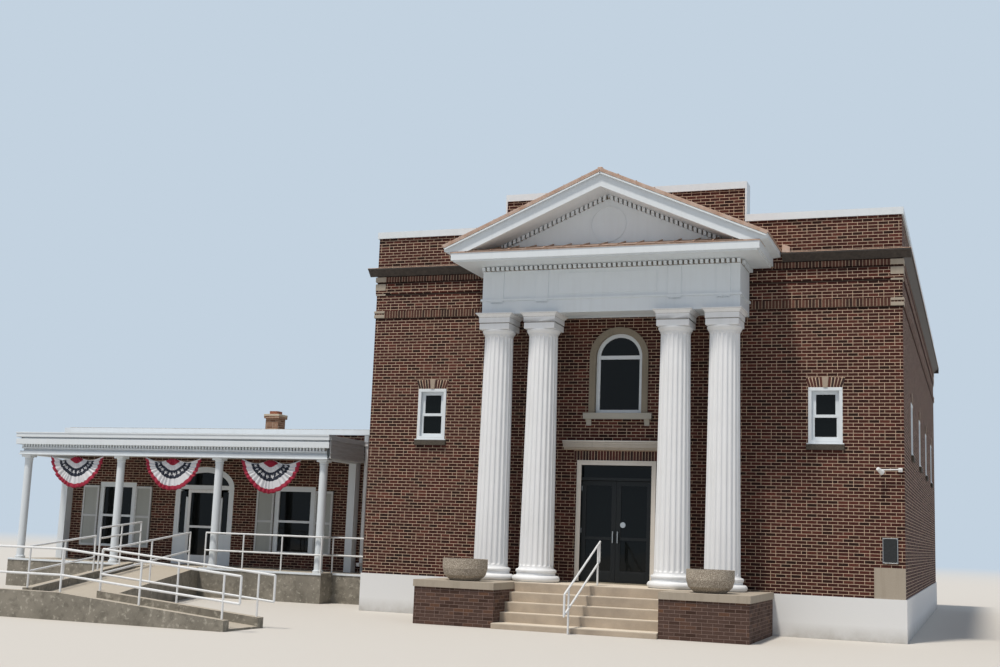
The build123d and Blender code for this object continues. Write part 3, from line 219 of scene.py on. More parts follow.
def finish_for(name, **shader):
    """Keep a function as the one that builds the finish of that name; shader holds what is even all over."""

    def keep(build):
        FINISHES[name] = (build, shader)
        return build

    return keep


def finish(name):
    """The finish of that name, made the first time it is asked for."""
    if name not in made_finishes:
        build, shader = FINISHES[name]
        material = bpy.data.materials.new(build.__name__)
        add = emptied(material)
        varied = dict(zip(("Base Color", "Normal", "Roughness"), build(add)))
        add("OutputMaterial", add("BsdfPrincipled", **shader, **varied))
        made_finishes[name] = material
    return made_finishes[name]


def wall_places(add):
    """Distance along a wall and height, whichever way the face looks."""
    x, y, height = places(add)
    sideways = add("Math GREATER_THAN", add("Math ABSOLUTE", facing(add)[0]), 0.7)
    return add("Math MULTIPLY_ADD", sideways, add("Math SUBTRACT", y, x), x), height


def bond(add, along, up, course, brick, joint, flemish_every=7):
    """Common bond with a Flemish row now and then: brick share at a point, and a random tone per brick."""
    rows = add("Math DIVIDE", up, course)
    row, height = add("Math FLOOR", rows), add("Math FRACT", rows)
    units = add("Math DIVIDE", along, brick)
    shifted = add("Math MULTIPLY_ADD", add("Math FLOORED_MODULO", row, 2.0), 0.5, units)
    edge = add("Math PINGPONG", add("Math FRACT", shifted), 1.0)
    plain_near = add("Math MINIMUM", edge, add("Math SUBTRACT", 1.0, edge))
    # A Flemish row repeats a stretcher and a header, one and a half bricks long
    pair = add("Math DIVIDE", units, 1.5)
    pair_share = add("Math MULTIPLY", add("Math FRACT", pair), 1.5)
    ends = add("Math MINIMUM", pair_share, add("Math SUBTRACT", 1.5, pair_share))
    pair_near = add("Math MINIMUM", ends, add("Math ABSOLUTE", add("Math SUBTRACT", pair_share, 1.0)))
    header = add("Math GREATER_THAN", pair_share, 1.0)
    pair_number = add("Math MULTIPLY_ADD", header, 0.37, add("Math FLOOR", pair))
    flemish = add("Math COMPARE", add("Math FLOORED_MODULO", row, float(flemish_every)), 3.0, 0.1)
    side_gap = add("Math MULTIPLY", add("Mix", flemish, plain_near, pair_near), brick)
    number = add("Mix", flemish, add("Math FLOOR", shifted), pair_number)
    top_gap = add("Math MULTIPLY", add("Math MINIMUM", height, add("Math SUBTRACT", 1.0, height)), course)
    # The joint is about two millimetres ragged, as hand-struck mortar is
    ragged = add("TexNoise", Scale=90.0, Detail=2.0)
    gap = add("Math MULTIPLY_ADD", ragged, 0.004, add("Math MINIMUM", side_gap, top_gap))
    face = add("MapRange", gap, joint / 2 + 0.0008, joint / 2 + 0.0035, 0.0, 1.0)
    return face, add("TexWhiteNoise", add("CombineXYZ", number, row, 0.0), noise_dimensions="3D")


def brick_colours(add, face, tone, dark, middle, light, mortar):
    """Colour of brickwork: kiln tones brick by brick, clouded faces, sooty mortar and broad weathering."""
    clouds = add("TexNoise", Scale=26.0, Detail=5.0, Roughness=0.7)
    kiln = add("ValToRGB", tone, stops=((0.0, dark), (0.06, dark), (0.3, middle), (0.7, middle), (1.0, light)))
    spotted = stained(add, kiln, dark, clouds, 0.35, 0.75, 0.55)
    dark_tone = add("MapRange", add("TexNoise", Scale=0.55, Detail=4.0), 0.35, 0.7, 1.0, 0.78)
    grey = add("CombineColor", dark_tone, dark_tone, dark_tone)
    worn = add("Mix", 1.0, spotted, grey, data_type="RGBA", blend_type="MULTIPLY")
    return stained(add, stained(add, mortar, middle, clouds, 0.4, 0.7, 0.3), worn, face)


def wall_brick(add, dark, middle, light, mortar, joint=None):
    """Brickwork of a wall, with a dark line of painted shadow under the ledge and under each projecting brick band."""
    f = hall()[0]
    along, up = wall_places(add)
    face, tone = bond(add, along, up, f.course, f.stretcher, joint or f.joint)
    darkening = 0.0
    # Painted shadow: a near-black line under the ledge, under each band and in the recess between two bands
    for low, high in BAND_SHADE_HEIGHTS:
        darkening = add("Math ADD", add("Math COMPARE", up, (low + high) / 2, (high - low) / 2), darkening)
    paint = brick_colours(add, face, tone, dark, middle, light, mortar)
    paint = stained(add, paint, "#1c1210", add("Math MULTIPLY", darkening, 0.75))
    relief = add("Math MULTIPLY_ADD", add("TexNoise", Scale=140.0, Detail=3.0), 0.25, face)
    bump = add("Bump", Strength=0.8, Distance=0.006, Height=relief)
    return paint, bump, add("MapRange", tone, 0.0, 1.0, 0.95, 0.72)


@finish_for("brick", **DULL)
def pressed_face_brick(add):
    """Pressed clay face brick, kiln fired: deep red-brown, each brick of its own tone, in pale lime mortar."""
    f = hall()[0]
    return wall_brick(add, f.brick_dark, f.brick, f.brick_light, f.mortar)


@finish_for("pier_brick", **DULL)
def wire_cut_pier_brick(add):
    """Wire-cut brick of the stair piers: rough, purplish brown, in thin mortar of nearly its own colour."""
    return wall_brick(add, "#43322b", hall()[0].rough_brick, "#6c4d3b", "#83716a", joint=0.008)


@finish_for("chimney", **DULL)
def common_chimney_brick(add):
    """Common brick of the chimney: paler and more even than the face brick."""
    return wall_brick(add, "#7d5c4c", hall()[0].chimney_brick, "#b59580", "#c0b3a2")


@finish_for("band_brick", Roughness=0.88, **DULL)
def band_face_brick(add):
    """The projecting bands: two of them stand their bricks on end, with wide joints gone grey."""
    f = hall()[0]
    along, up = wall_places(add)
    lying, lying_tone = bond(add, along, up, f.course, f.stretcher, f.joint)
    # Bricks on end have no bed joint within the band, and no Flemish row
    upright, upright_tone = bond(add, up, along, f.course, 40.0, 0.012, flemish_every=999)
    grey = brick_colours(add, upright, upright_tone, "#3b2a26", "#5a3b33", "#6f4a3f", "#a5937f")
    red = brick_colours(add, lying, lying_tone, f.brick_dark, f.brick, f.brick_light, f.mortar)
    relief = add("Math MULTIPLY", lying, upright)
    middle_band = add("Math COMPARE", up, 7.325, 0.118)
    return stained(add, grey, red, middle_band), add("Bump", Strength=0.7, Distance=0.006, Height=relief)


@finish_for("corbel", Roughness=0.6)
def shaded_dark_terracotta_corbel(add):
    """The ledge's corbel: dark glazed terracotta, made darker still as painted shade for the shadow under the ledge's
    lip; a little lighter where rain runs off it.
    """
    cloud = add("TexNoise", Scale=18.0, Detail=5.0)
    # Painted shade: near-black browns for the corbel's shadow under the lip
    dull = stained(add, "#2e2926", "#3f3833", cloud, 0.35, 0.7)
    paint = stained(add, dull, "#574d46", streaks(add), 0.0, 1.0, 0.4)
    return paint, add("Bump", Strength=0.4, Distance=0.002, Height=cloud)


@finish_for("single_bricks", Roughness=0.85)
def hand_set_face_brick(add):
    """Bricks set one by one, as in an arch: each takes its own kiln tone."""
    f = hall()[0]
    tones = ((0.0, f.brick_dark), (0.25, f.brick_dark), (0.6, f.brick), (1.0, f.brick_light))
    kiln = add("ValToRGB", add("NewGeometry", out="Random Per Island"), stops=tones)
    clouds = add("TexNoise", Scale=26.0, Detail=5.0, Roughness=0.7)
    bump = add("Bump", Strength=0.6, Distance=0.003, Height=clouds)
    return stained(add, kiln, f.brick_dark, clouds, 0.35, 0.75, 0.5), bump


@finish_for("mortar", Roughness=0.92)
def struck_lime_mortar(add):
    """Lime and sand mortar behind the single bricks, sooty in patches."""
    sand = add("TexNoise", Scale=160.0, Detail=3.0)
    darkening = add("TexNoise", Scale=9.0, Detail=4.0)
    bump = add("Bump", Strength=0.5, Distance=0.002, Height=sand)
    return stained(add, hall()[0].mortar, "#7d6659", darkening, 0.4, 0.7, 0.5), bump


def painted(add, base, stain, share=0.30, roughness=0.42, brush=60.0):
    """Paint over wood, plaster or metal: nearly even, with rain marks, a little chalking and brush or roller marks."""
    cloud = add("TexNoise", Scale=1.7, Detail=4.0)
    tired = stained(add, base, stain, cloud, 0.4, 0.7, share * 0.55)
    paint = stained(add, tired, stain, add("Math MULTIPLY", streaks(add), share))
    bump = add("Bump", Strength=0.5, Distance=0.0006, Height=add("TexNoise", Scale=brush, Detail=3.0))
    return paint, bump, add("MapRange", cloud, 0.3, 0.7, roughness, roughness + 0.18)


@finish_for("white_wood")
def oil_painted_pine(add):
    """Oil-painted pine of the entablature, windows and porch: cool white with faint rain marks."""
    return painted(add, hall()[0].paint, "#b0b3b3", share=0.13)


@finish_for("cream_wood")
def cream_painted_pine(add):
    """The street door's casing: the same oil paint, yellowed to cream."""
    return painted(add, "#d3cfc8", "#aaa49b", share=0.2)


@finish_for("stucco_column")
def painted_column_plaster(add):
    """Smooth painted plaster of the columns: a clean cool white."""
    return painted(add, "#e2e5e8", "#b4b6b5", share=0.18, roughness=0.5, brush=35.0)


@finish_for("white_metal")
def enamelled_steel(add):
    """Steel pipe and sheet in gloss white enamel, a little grey from weather."""
    return painted(add, "#dfe2e4", "#9d9a94", share=0.2, roughness=0.3, brush=20.0)


@finish_for("shutter")
def painted_shutter_wood(add):
    """Panelled shutter in grey paint, chalking a little."""
    return painted(add, "#9da19e", "#7f837f", share=0.25, roughness=0.5)


@finish_for("dark_tone")
def painted_shade_brown_grey(add):
    """Brown-grey paint as painted shade: in the gaps between the dentils, in the grooves of the square caps and in open
    joints.
    """
    return painted(add, "#7b7267", "#585047", share=0.5, roughness=0.8)


@finish_for("white_base", Roughness=0.72)
def rolled_masonry_paint(add):
    """Masonry paint rolled over the raised base: flat white, splashed grey near the ground."""
    cloud = add("TexNoise", Scale=3.0, Detail=6.0, Roughness=0.65)
    low = add("MapRange", places(add)[2], 0.0, 0.30, 1.0, 0.0)
    paint = stained(add, hall()[0].base_paint, "#8d877c", add("Math MULTIPLY", low, cloud))
    rolled = add("TexNoise", Scale=45.0, Detail=4.0)
    return paint, add("Bump", Strength=0.5, Distance=0.003, Height=rolled)


def rubbed_stone(add, base, dark, stain, sill_top=None):
    """Limestone sawn and rubbed: fine shelly grain, darker where water runs, washed paler on a sill below sill_top."""
    grain = add("TexNoise", Scale=60.0, Detail=6.0, Roughness=0.7)
    fine = stained(add, base, dark, grain, 0.3, 0.7, 0.6)
    paint = stained(add, fine, stain, add("Math MULTIPLY", streaks(add), 0.35))
    if sill_top:
        washed = add("Math LESS_THAN", places(add)[2], sill_top)
        paint = stained(add, paint, "#b4b3ab", add("Math MULTIPLY", washed, 0.7))
    relief = add("Math MULTIPLY_ADD", add("TexVoronoi", Scale=110.0), 0.5, grain)
    return paint, add("Bump", Strength=0.6, Distance=0.0015, Height=relief)


@finish_for("limestone", Roughness=0.82)
def sawn_limestone(add):
    """Limestone of the corner stones and the cornerstone: pale tan grey."""
    return rubbed_stone(add, hall()[0].limestone, "#988d7c", "#7a7163")


@finish_for("shaded_stone", Roughness=0.82)
def limestone_with_portico_shade(add):
    """The arched window's surround under the portico: the same stone, darker brown-grey as painted shade for the
    portico's shadow.
    """
    return rubbed_stone(add, "#8f8778", "#746c5f", "#5c554a", sill_top=4.452)


@finish_for("hood_stone", Roughness=0.82)
def rubbed_hood_stone(add):
    """The hood over the door: limestone rubbed smooth, cream grey."""
    return rubbed_stone(add, "#b9b2a7", "#a0998e", "#8a8277")


@finish_for("cap_stone", Roughness=0.82)
def mortar_washed_cap_stone(add):
    """The chimney's cap: pale limestone slab washed with mortar."""
    return rubbed_stone(add, "#cbc0ae", "#b0a592", "#8f8676")


@finish_for("sill_stone", Roughness=0.85)
def dark_sill_limestone(add):
    """Limestone of window sills and keystones: the low sills are nearly black, the keystones stay tan."""
    grain = add("TexNoise", Scale=60.0, Detail=6.0, Roughness=0.7)
    tan = stained(add, "#a99a8b", "#8b7f73", grain, 0.3, 0.7, 0.6)
    dark_sill = stained(add, "#37322c", "#5e574c", grain, 0.4, 0.7)
    # The sills end below 4.3 m and the keystones begin above 4.5 m
    paint = stained(add, dark_sill, tan, places(add)[2], 4.3, 4.5)
    return paint, add("Bump", Strength=0.6, Distance=0.0015, Height=grain)


@finish_for("clay", Roughness=0.8)
def fired_clay_tile(add):
    """Fired clay flue tile: dull orange-brown, sooty in patches."""
    cloud = add("TexNoise", Scale=22.0, Detail=6.0)
    paint = stained(add, "#9c5f45", "#5e3f33", cloud, 0.4, 0.75)
    return paint, add("Bump", Strength=0.4, Distance=0.002, Height=cloud)


def cast(add, base, dark, worn, nosing_highlight=None, lichen=None):
    """Cast concrete: sandy grain, water marks and small air holes.

    worn is the paler tone of every upward face, partly wear from feet and partly painted highlight where light falls on
    the tops;
    nosing is the first step's height and the rise of a step, for a painted highlight along the top of each riser;
    lichen is the colour of spots on stained walls.
    """
    cloud = add("TexNoise", Scale=1.3, Detail=6.0, Roughness=0.6)
    sand = add("TexNoise", Scale=240.0, Detail=2.0)
    paint = stained(add, base, dark, cloud, 0.38, 0.68, 0.6)
    paint = stained(add, paint, dark, sand, 0.45, 0.75, 0.45)
    pits = add("MapRange", add("TexVoronoi", Scale=38.0, Randomness=1.0), 0.03, 0.10, 1.0, 0.0)
    paint = stained(add, paint, dark, add("Math MULTIPLY", pits, 0.5))
    if lichen:
        darkening = add("TexNoise", Scale=4.5, Detail=8.0, Roughness=0.68)
        paint = stained(add, paint, dark, darkening, 0.50, 0.62, 0.65)
        spots = add("TexNoise", Scale=11.0, Detail=6.0, Roughness=0.6)
        paint = stained(add, paint, lichen, spots, 0.56, 0.66, 0.6)
    # Painted highlight, partly wear: upward faces take the paler tone
    paint = stained(add, paint, worn, facing(add)[2], 0.6, 0.9, 0.8)
    # Painted highlight: a pale band along the top of each riser
    if nosing_highlight:
        first, rise = nosing_highlight
        step = add("Math FRACT", add("Math MULTIPLY_ADD", places(add)[2], 1 / rise, -first / rise))
        paint = stained(add, paint, worn, step, 0.90, 0.95, 0.85)
    return paint, add("Bump", Strength=0.5, Distance=0.002, Height=add("Math SUBTRACT", sand, pits))


@finish_for("concrete", Roughness=0.85)
def cast_step_concrete(add):
    """Warm cast concrete of the steps, platform and pier caps, its tops paler from wear and painted highlight, with a
    painted highlight along the top of each riser.
    """
    return cast(add, hall()[0].concrete, "#83796e", "#d0c6b6", nosing_highlight=(0.105, 0.18775))


@finish_for("ramp", Roughness=0.85)
def broomed_concrete(add):
    """Grey-buff concrete of the ramp, curbs and deck with a broomed face."""
    return cast(add, hall()[0].ramp_concrete, "#5f5b52", "#b5ac9d", lichen="#b3afa3")


@finish_for("aggregate", Roughness=0.8)
def washed_aggregate_concrete(add):
    """Concrete bowl washed back to its pebbles: grey-brown stones about 8 mm across in darker cement."""
    tone = add("SeparateColor", add("TexVoronoi", Scale=85.0, out="Color"))
    pebbles = add("ValToRGB", tone, stops=((0.0, "#857a6e"), (0.4, "#aaa091"), (0.75, "#c5bbac"), (1.0, "#e2d8c6")))
    bed = add("MapRange", add("TexVoronoi", Scale=85.0, feature="DISTANCE_TO_EDGE"), 0.02, 0.12, 0.0, 1.0)
    return stained(add, "#83796c", pebbles, bed), add("Bump", Strength=0.8, Distance=0.003, Height=bed)


def crumbled(add, scale, stops, strength, depth):
    """Loose stones or crumbs, so many to the metre, each of its own tone."""
    stones = add("TexVoronoi", Scale=scale).node.outputs
    paint = add("ValToRGB", add("SeparateColor", stones["Color"]), stops=stops)
    return paint, add("Bump", Strength=strength, Distance=depth, Height=stones["Distance"])


@finish_for("gravel", Roughness=0.9)
def pea_gravel_roof(add):
    """Flat roof of tar and pea gravel: grey-buff stones about 12 mm across."""
    return crumbled(add, 60.0, ((0.0, "#6f6a61"), (0.6, "#9a9488"), (1.0, "#c2bcae")), 0.7, 0.006)


@finish_for("soil", Roughness=0.95)
def potting_soil(add):
    """Dry potting soil in the planters: dark brown crumbs."""
    return crumbled(add, 70.0, ((0.0, "#2b221b"), (0.7, "#4a3b2e"), (1.0, "#6e5d48")), 1.0, 0.01)


@finish_for("copper", Metallic=0.85)
def weathered_copper_sheet(add):
    """Copper sheet a few years old: brown-orange, cloudy, darker in streaks, dull but still metal."""
    cloud = add("TexNoise", Scale=5.0, Detail=6.0, Roughness=0.6)
    aged = stained(add, hall()[0].copper, "#b3917c", cloud, 0.35, 0.7)
    paint = stained(add, aged, "#8a6a58", add("Math MULTIPLY", streaks(add), 0.4))
    bump = add("Bump", Strength=0.3, Distance=0.002, Height=cloud)
    return paint, bump, add("MapRange", cloud, 0.3, 0.7, 0.38, 0.58)


@finish_for("dark_metal", Metallic=0.6)
def anodised_bronze_aluminium(add):
    """Aluminium anodised dark bronze: nearly black, satin, with faint drawing lines."""
    lines = drawn(add, 900.0, 6.0, 2.0)
    paint = stained(add, hall()[0].bronze, "#3a3d3e", lines, 0.0, 1.0, 0.35)
    return paint, None, add("MapRange", lines, 0.0, 1.0, 0.3, 0.42)


@finish_for("steel", Metallic=1.0)
def brushed_stainless_steel(add):
    """Stainless steel brushed along its length: pale grey and satin."""
    lines = drawn(add, 700.0, 25.0, 2.0)
    return stained(add, "#c9ccce", "#a5a8aa", lines), None, add("MapRange", lines, 0.0, 1.0, 0.22, 0.38)


@finish_for("glass", **{"IOR": 1.52, "Transmission Weight": 0.15, "Specular IOR Level": 0.13})
def float_glass(add):
    """Float glass in front of unlit rooms: dark, slightly blue, wavy enough to bend what it mirrors."""
    waves = add("TexNoise", Scale=1.6, Detail=1.0)
    bump = add("Bump", Strength=0.15, Distance=0.02, Height=waves)
    return hall()[0].glass, bump, add("MapRange", streaks(add), 0.0, 1.0, 0.03, 0.12)


@finish_for("floor", Roughness=0.4)
def waxed_floor_tile(add):
    """Resilient floor tiles laid in 0.3 m squares, buff and a little marbled, waxed."""
    squares = add("TexChecker", Scale=3.28, Color1="#9b9484", Color2="#8b8474")
    return (stained(add, squares, "#77705f", add("TexNoise", Scale=14.0, Detail=6.0), 0.0, 1.0, 0.4),)


@finish_for("plaque")
def black_enamelled_plaque(add):
    """Cast metal plaque enamelled black, its raised rim rubbed."""
    cloud = add("TexNoise", Scale=30.0, Detail=4.0)
    paint = stained(add, "#17191a", "#34383a", cloud, 0.4, 0.8, 0.6)
    return paint, None, add("MapRange", cloud, 0.0, 1.0, 0.3, 0.5)


@finish_for("siding", Roughness=0.65)
def lapped_grey_siding(add):
    """Lapped boards in flat grey paint, grain showing faintly along them."""
    grain = drawn(add, 3.0, 60.0, 4.0)
    paint = stained(add, "#c4c8ca", "#aeb2b5", grain, 0.4, 0.7)
    return paint, add("Bump", Strength=0.4, Distance=0.001, Height=grain)


@finish_for("bunting", **{"Roughness": 0.75, "Sheen Weight": 0.05})
def printed_bunting_polyester(add):
    """Printed polyester bunting: red heart, white, a navy band of stars, white, and a red hem, on the fan's own map."""
    f, white = hall()[0], "#d3d5da"
    around, out, _ = add("SeparateXYZ", add("UVMap", uv_map="fan")).node.outputs
    rings = add("ValToRGB", out, stops=((0.0, f.red), (0.20, white), (0.36, f.navy), (0.63, white), (0.86, f.red)))
    rings.node.color_ramp.interpolation = "CONSTANT"
    # One row of five-pointed stars about 110 mm across on the navy band
    rows = add("MapRange", out, 0.37, 0.62, 0.0, 1.0, clamp=False)
    half_row = add("Math MULTIPLY", add("Math FLOOR", rows), 0.5)
    steps = add("Math ADD", half_row, add("Math MULTIPLY", around, 10.0))
    x = add("Math SUBTRACT", add("Math FRACT", steps), 0.5)
    y = add("Math MULTIPLY", add("Math SUBTRACT", add("Math FRACT", rows), 0.5), 1.6)
    fifth = add("Math FRACT", add("Math MULTIPLY", add("Math ARCTAN2", x, y), 5 / math.tau))
    point = add("Math MULTIPLY", add("Math ABSOLUTE", add("Math SUBTRACT", fifth, 0.5)), 2.0)
    reach = add("MapRange", point, 0.0, 1.0, 0.14, 0.40, interpolation_type="SMOOTHSTEP")
    star = add("Math LESS_THAN", add("VectorMath LENGTH", add("CombineXYZ", x, y, 0.0)), reach)
    paint = stained(add, rings, white, add("Math MULTIPLY", add("Math COMPARE", rows, 1.0, 1.0), star))
    # White binding tape along the gathered top edge
    from_middle = add("Math ABSOLUTE", add("Math SUBTRACT", around, 0.5))
    paint = stained(add, paint, white, add("Math GREATER_THAN", from_middle, 0.488))
    # A stitched hem in darker thread runs along the outer edge
    paint = stained(add, paint, "#8a1a2e", add("Math COMPARE", out, 0.975, 0.004))
    weave = add("TexWave", Scale=160.0, Distortion=0.5, out="Fac")
    return paint, add("Bump", Strength=0.25, Distance=0.0006, Height=weave)


# Shape building


def shown(name, data):
    """Put a mesh, lamp or camera in the scene."""
    made = bpy.data.objects.new(name, data)
    bpy.context.scene.collection.objects.link(made)
    return made


def meshed(name, bm, material):
    """Turn a finished shape into a smooth mesh of one material, in the scene."""
    mesh = bpy.data.meshes.new(name)
    bm.to_mesh(mesh)
    bm.free()
    mesh.materials.append(material)
    mesh.shade_smooth()
    return shown(name, mesh)


def piece(name, bm, kind, body="base", sharp=35.0, replaces=()):
    """Close, smooth and name a finished shape, and let it ride on a body of the frame."""
    bmesh.ops.remove_doubles(bm, verts=bm.verts, dist=1e-5)
    bmesh.ops.recalc_face_normals(bm, faces=bm.faces)
    made = meshed(name, bm, finish(kind))
    made.data.set_sharp_from_angle(angle=math.radians(sharp))
    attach(made, body)
    if replaces:
        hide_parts(*replaces)


def about(middle, half):
    """The two ends of a stretch with that middle."""
    return middle - half, middle + half


def block(bm, x, y, z, edge=0.0, turn=None):
    """A squared block with eased arrises; x, y and z are its ends in any order, and turn moves it afterwards."""
    low, high = (Vector(corner) for corner in zip(*map(sorted, (x, y, z))))
    place = Matrix.Translation((low + high) / 2) @ Matrix.Diagonal((*(high - low), 1))
    verts = bmesh.ops.create_cube(bm, size=1, matrix=place)["verts"]
    if edge:
        edges = list({e for v in verts for e in v.link_edges})
        shaped = bmesh.ops.bevel(
            bm, geom=edges, offset=edge, segments=1, profile=0.5, affect="EDGES", material=-1, clamp_overlap=True
        )
        verts = list({v for f in shaped["faces"] for v in f.verts})
    if turn:
        bmesh.ops.transform(bm, matrix=turn, verts=verts)
    return verts


def turned(bm, profile, x, y, steps):
    """A turned shape: the profile, (radius, height) pairs, spun round an upright line."""
    verts = [bm.verts.new((x + r, y, z)) for r, z in profile]
    line = verts + [bm.edges.new(pair) for pair in zip(verts, verts[1:])]
    whole = {"axis": (0, 0, 1), "dvec": (0, 0, 0), "angle": math.tau, "use_merge": True}
    bmesh.ops.spin(bm, geom=line, cent=(x, y, 0), steps=steps, **whole)


def cone(bm, foot, head, depth, place, sides):
    """A capped cone or bar that lies along the z axis of its place, with the radii of its two ends."""
    bmesh.ops.create_cone(bm, cap_ends=True, segments=sides, radius1=foot, radius2=head, depth=depth, matrix=place)


def rod(bm, start, end, radius, sides=16):
    """A round bar from one point to another."""
    start, end = Vector(start), Vector(end)
    along = end - start
    place = Matrix.Translation((start + end) / 2) @ along.to_track_quat("Z", "Y").to_matrix().to_4x4()
    cone(bm, radius, radius, along.length, place, sides)


def on_wall(wall, along):
    """Matrix from the middle of the front wall's face to a spot on one of the main block's walls."""
    x, y, quarters = {
        "front": (along, 0, 0),
        "rear": (along, BLOCK_DEPTH, 2),
        "right": (BLOCK_HALF, along, 1),
        "left": (-BLOCK_HALF, along, -1),
    }[wall]
    return Matrix.Translation((x, y, 0)) @ Matrix.Rotation(quarters * math.pi / 2, 4, "Z")


def on_rake(side, height=RAKE_PEAK, out=0.0):
    """Matrix from the origin to a spot on the gable's right or left slope."""
    return Matrix.Translation((side * out, 0, height)) @ Matrix.Rotation(side * RAKE_SLOPE, 4, "Y")


def arc(radius, height, reach, first, last, steps=8):
    """Points of a round moulding: centre at (radius, height), angles in degrees from outwards, upwards positive."""
    angles = [math.radians(first + (last - first) * i / steps) for i in range(steps + 1)]
    return [(radius + reach * math.cos(a), height + reach * math.sin(a)) for a in angles]


def moulded_square(bm, x, y, levels):
    """A square block whose half width changes with height: levels are (half, z) pairs from the bottom up."""
    half, z = levels[0]
    place = Matrix.Translation((x, y, z))
    face = bmesh.ops.create_grid(bm, x_segments=1, y_segments=1, size=half, matrix=place)["verts"][0].link_faces[0]
    for number, (next_half, next_z) in enumerate(levels[1:]):
        made = bmesh.ops.extrude_face_region(bm, geom=[face], use_keep_orig=number == 0)["geom"]
        face = next(g for g in made if isinstance(g, bmesh.types.BMFace))
        for v in [g for g in made if isinstance(g, bmesh.types.BMVert)]:
            v.co = (x + (v.co.x - x) * next_half / half, y + (v.co.y - y) * next_half / half, next_z)
        half = next_half


def fluted_shaft(bm, x, y, foot, head, sizes):
    """A tapering shaft cut with flutes that end in half rounds; its lowest edge flares out."""
    flare = 0.014
    # Half of a flute's open share of its pitch, and the height of its round ends
    open_half, flute_round = 0.375, 0.045
    low_end, high_end = foot + 0.095, head - 0.06
    steps, count = (1.0, 0.93, 0.78, 0.55, 0.28, 0.0), 9
    levels = [foot, foot + 0.012, foot + 0.03] + [low_end - flute_round * s for s in steps]
    levels += [low_end + (high_end - low_end) * i / count for i in range(1, count + 1)]
    levels += [high_end + flute_round * s for s in reversed(steps[:-1])] + [head]
    place = Matrix.Translation((x, y, foot))
    ring = bmesh.ops.create_circle(bm, cap_ends=False, segments=sizes.flutes * 8, radius=1, matrix=place)["verts"]
    edges = list({e for v in ring for e in v.link_edges})
    for number, z in enumerate(levels):
        share = (z - foot) / (head - foot)
        radius = sizes.shaft_foot + (sizes.shaft_head - sizes.shaft_foot) * share
        if number < 2:
            radius += flare * (1 - number * 0.65)
        past = max(0.0, low_end - z, z - high_end) / flute_round
        for v in ring:
            angle = math.atan2(v.co.y - y, v.co.x - x)
            across = ((angle / math.tau * sizes.flutes) % 1.0 - 0.5) / open_half
            r = radius - sizes.flute_depth * math.sqrt(max(0.0, 1 - across * across - past * past))
            v.co = (x + r * math.cos(angle), y + r * math.sin(angle), z)
        if number < len(levels) - 1:
            made = bmesh.ops.extrude_edge_only(bm, edges=edges)["geom"]
            ring = [g for g in made if isinstance(g, bmesh.types.BMVert)]
            top = set(ring)
            edges = [g for g in made if isinstance(g, bmesh.types.BMEdge) and top.issuperset(g.verts)]


# Operators, one for each piece or group of like pieces


class DressFrame(bpy.types.Operator):
    """Give every node of the frame its real finish"""

    bl_idname = "town_hall.dress_frame"
    bl_label = "Finishes"

    by_node = {
        "main_cornice": "corbel",
        "brick_bands": "band_brick",
        "chimney": "chimney",
        "ramp": "ramp",
        "porch_deck": "ramp",
        "wing_podium": "ramp",
        "door_hood": "hood_stone",
        "arch_surround": "shaded_stone",
        "sills_and_keystones": "sill_stone",
    }

    def execute(self, context):
        for name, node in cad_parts.items():
            slots = node.material_slots
            if not slots:
                raise RuntimeError(f"{name} has no material slot")
            kind = self.by_node.get(name, slots[0].material.name.split(".")[0])
            for place in slots:
                place.material = finish(kind)
        return {"FINISHED"}


class BuildColumns(bpy.types.Operator):
    """Four fluted portico columns with round bases and moulded capitals"""

    bl_idname = "town_hall.columns"
    bl_label = "Portico columns"

    def execute(self, context):
        sizes = hall()[1]
        # Heights of the shaft's foot, the flutes' head and the square cap's foot
        foot, head, cap = 1.126, 6.020, 6.125
        edge, neck = sizes.shaft_foot + 0.018, sizes.shaft_head
        base = [(0.0, PLATFORM_TOP), (0.455, PLATFORM_TOP), *arc(0.428, PLATFORM_TOP + 0.0665, 0.0665, -80, 90)]
        base += [(0.405, 0.990), (0.405, 1.004), *arc(0.420, 1.020, 0.018, 200, 135, 4)]
        base += [*arc(0.386, 1.078, 0.040, -70, 90), (edge, 1.119), (edge, foot), (0.0, foot)]
        # Rings of the bell: out from the neck, and up from the flutes' head
        rings = ((0.006, -0.024), (0.010, -0.018), (0.010, -0.012), (0.004, -0.010), (0.014, 0.0), (0.014, 0.006))
        rings += ((0.020, 0.012), (0.036, 0.034), (0.050, 0.060), (0.056, 0.080), (0.052, 0.096))
        bell = [(0.0, head - 0.024), *((neck + out, head + up) for out, up in rings), (neck + 0.042, cap), (0.0, cap)]
        square = ((0.336, cap), (0.336, 6.246), (0.318, 6.249), (0.318, 6.263), (0.347, 6.266), (0.347, 6.380))
        square += ((0.353, 6.388), (0.361, 6.402), (0.375, 6.420), (0.394, 6.437), (0.398, 6.446))
        square += ((0.410, 6.449), (0.410, 6.470))
        for number, x in enumerate(COLUMN_SPOTS):
            bm = bmesh.new()
            turned(bm, base, x, COLUMN_LINE, steps=72)
            fluted_shaft(bm, x, COLUMN_LINE, foot, head - 0.024, sizes)
            turned(bm, bell, x, COLUMN_LINE, steps=72)
            moulded_square(bm, x, COLUMN_LINE, square)
            piece(f"column_{number + 1}", bm, "stucco_column", sharp=32, replaces=["columns"])
        # Painted shade: dark rings in the open joints of the square caps
        bm = bmesh.new()
        for x in COLUMN_SPOTS:
            for z, reach in (((6.2500, 6.2620), 0.3190), ((6.3745, 6.3795), 0.3478), ((6.4440, 6.4480), 0.3990)):
                block(bm, about(x, reach), about(COLUMN_LINE, reach), z, 0.001)
        piece("cap_joint_painted_shade", bm, "dark_tone")
        return {"FINISHED"}


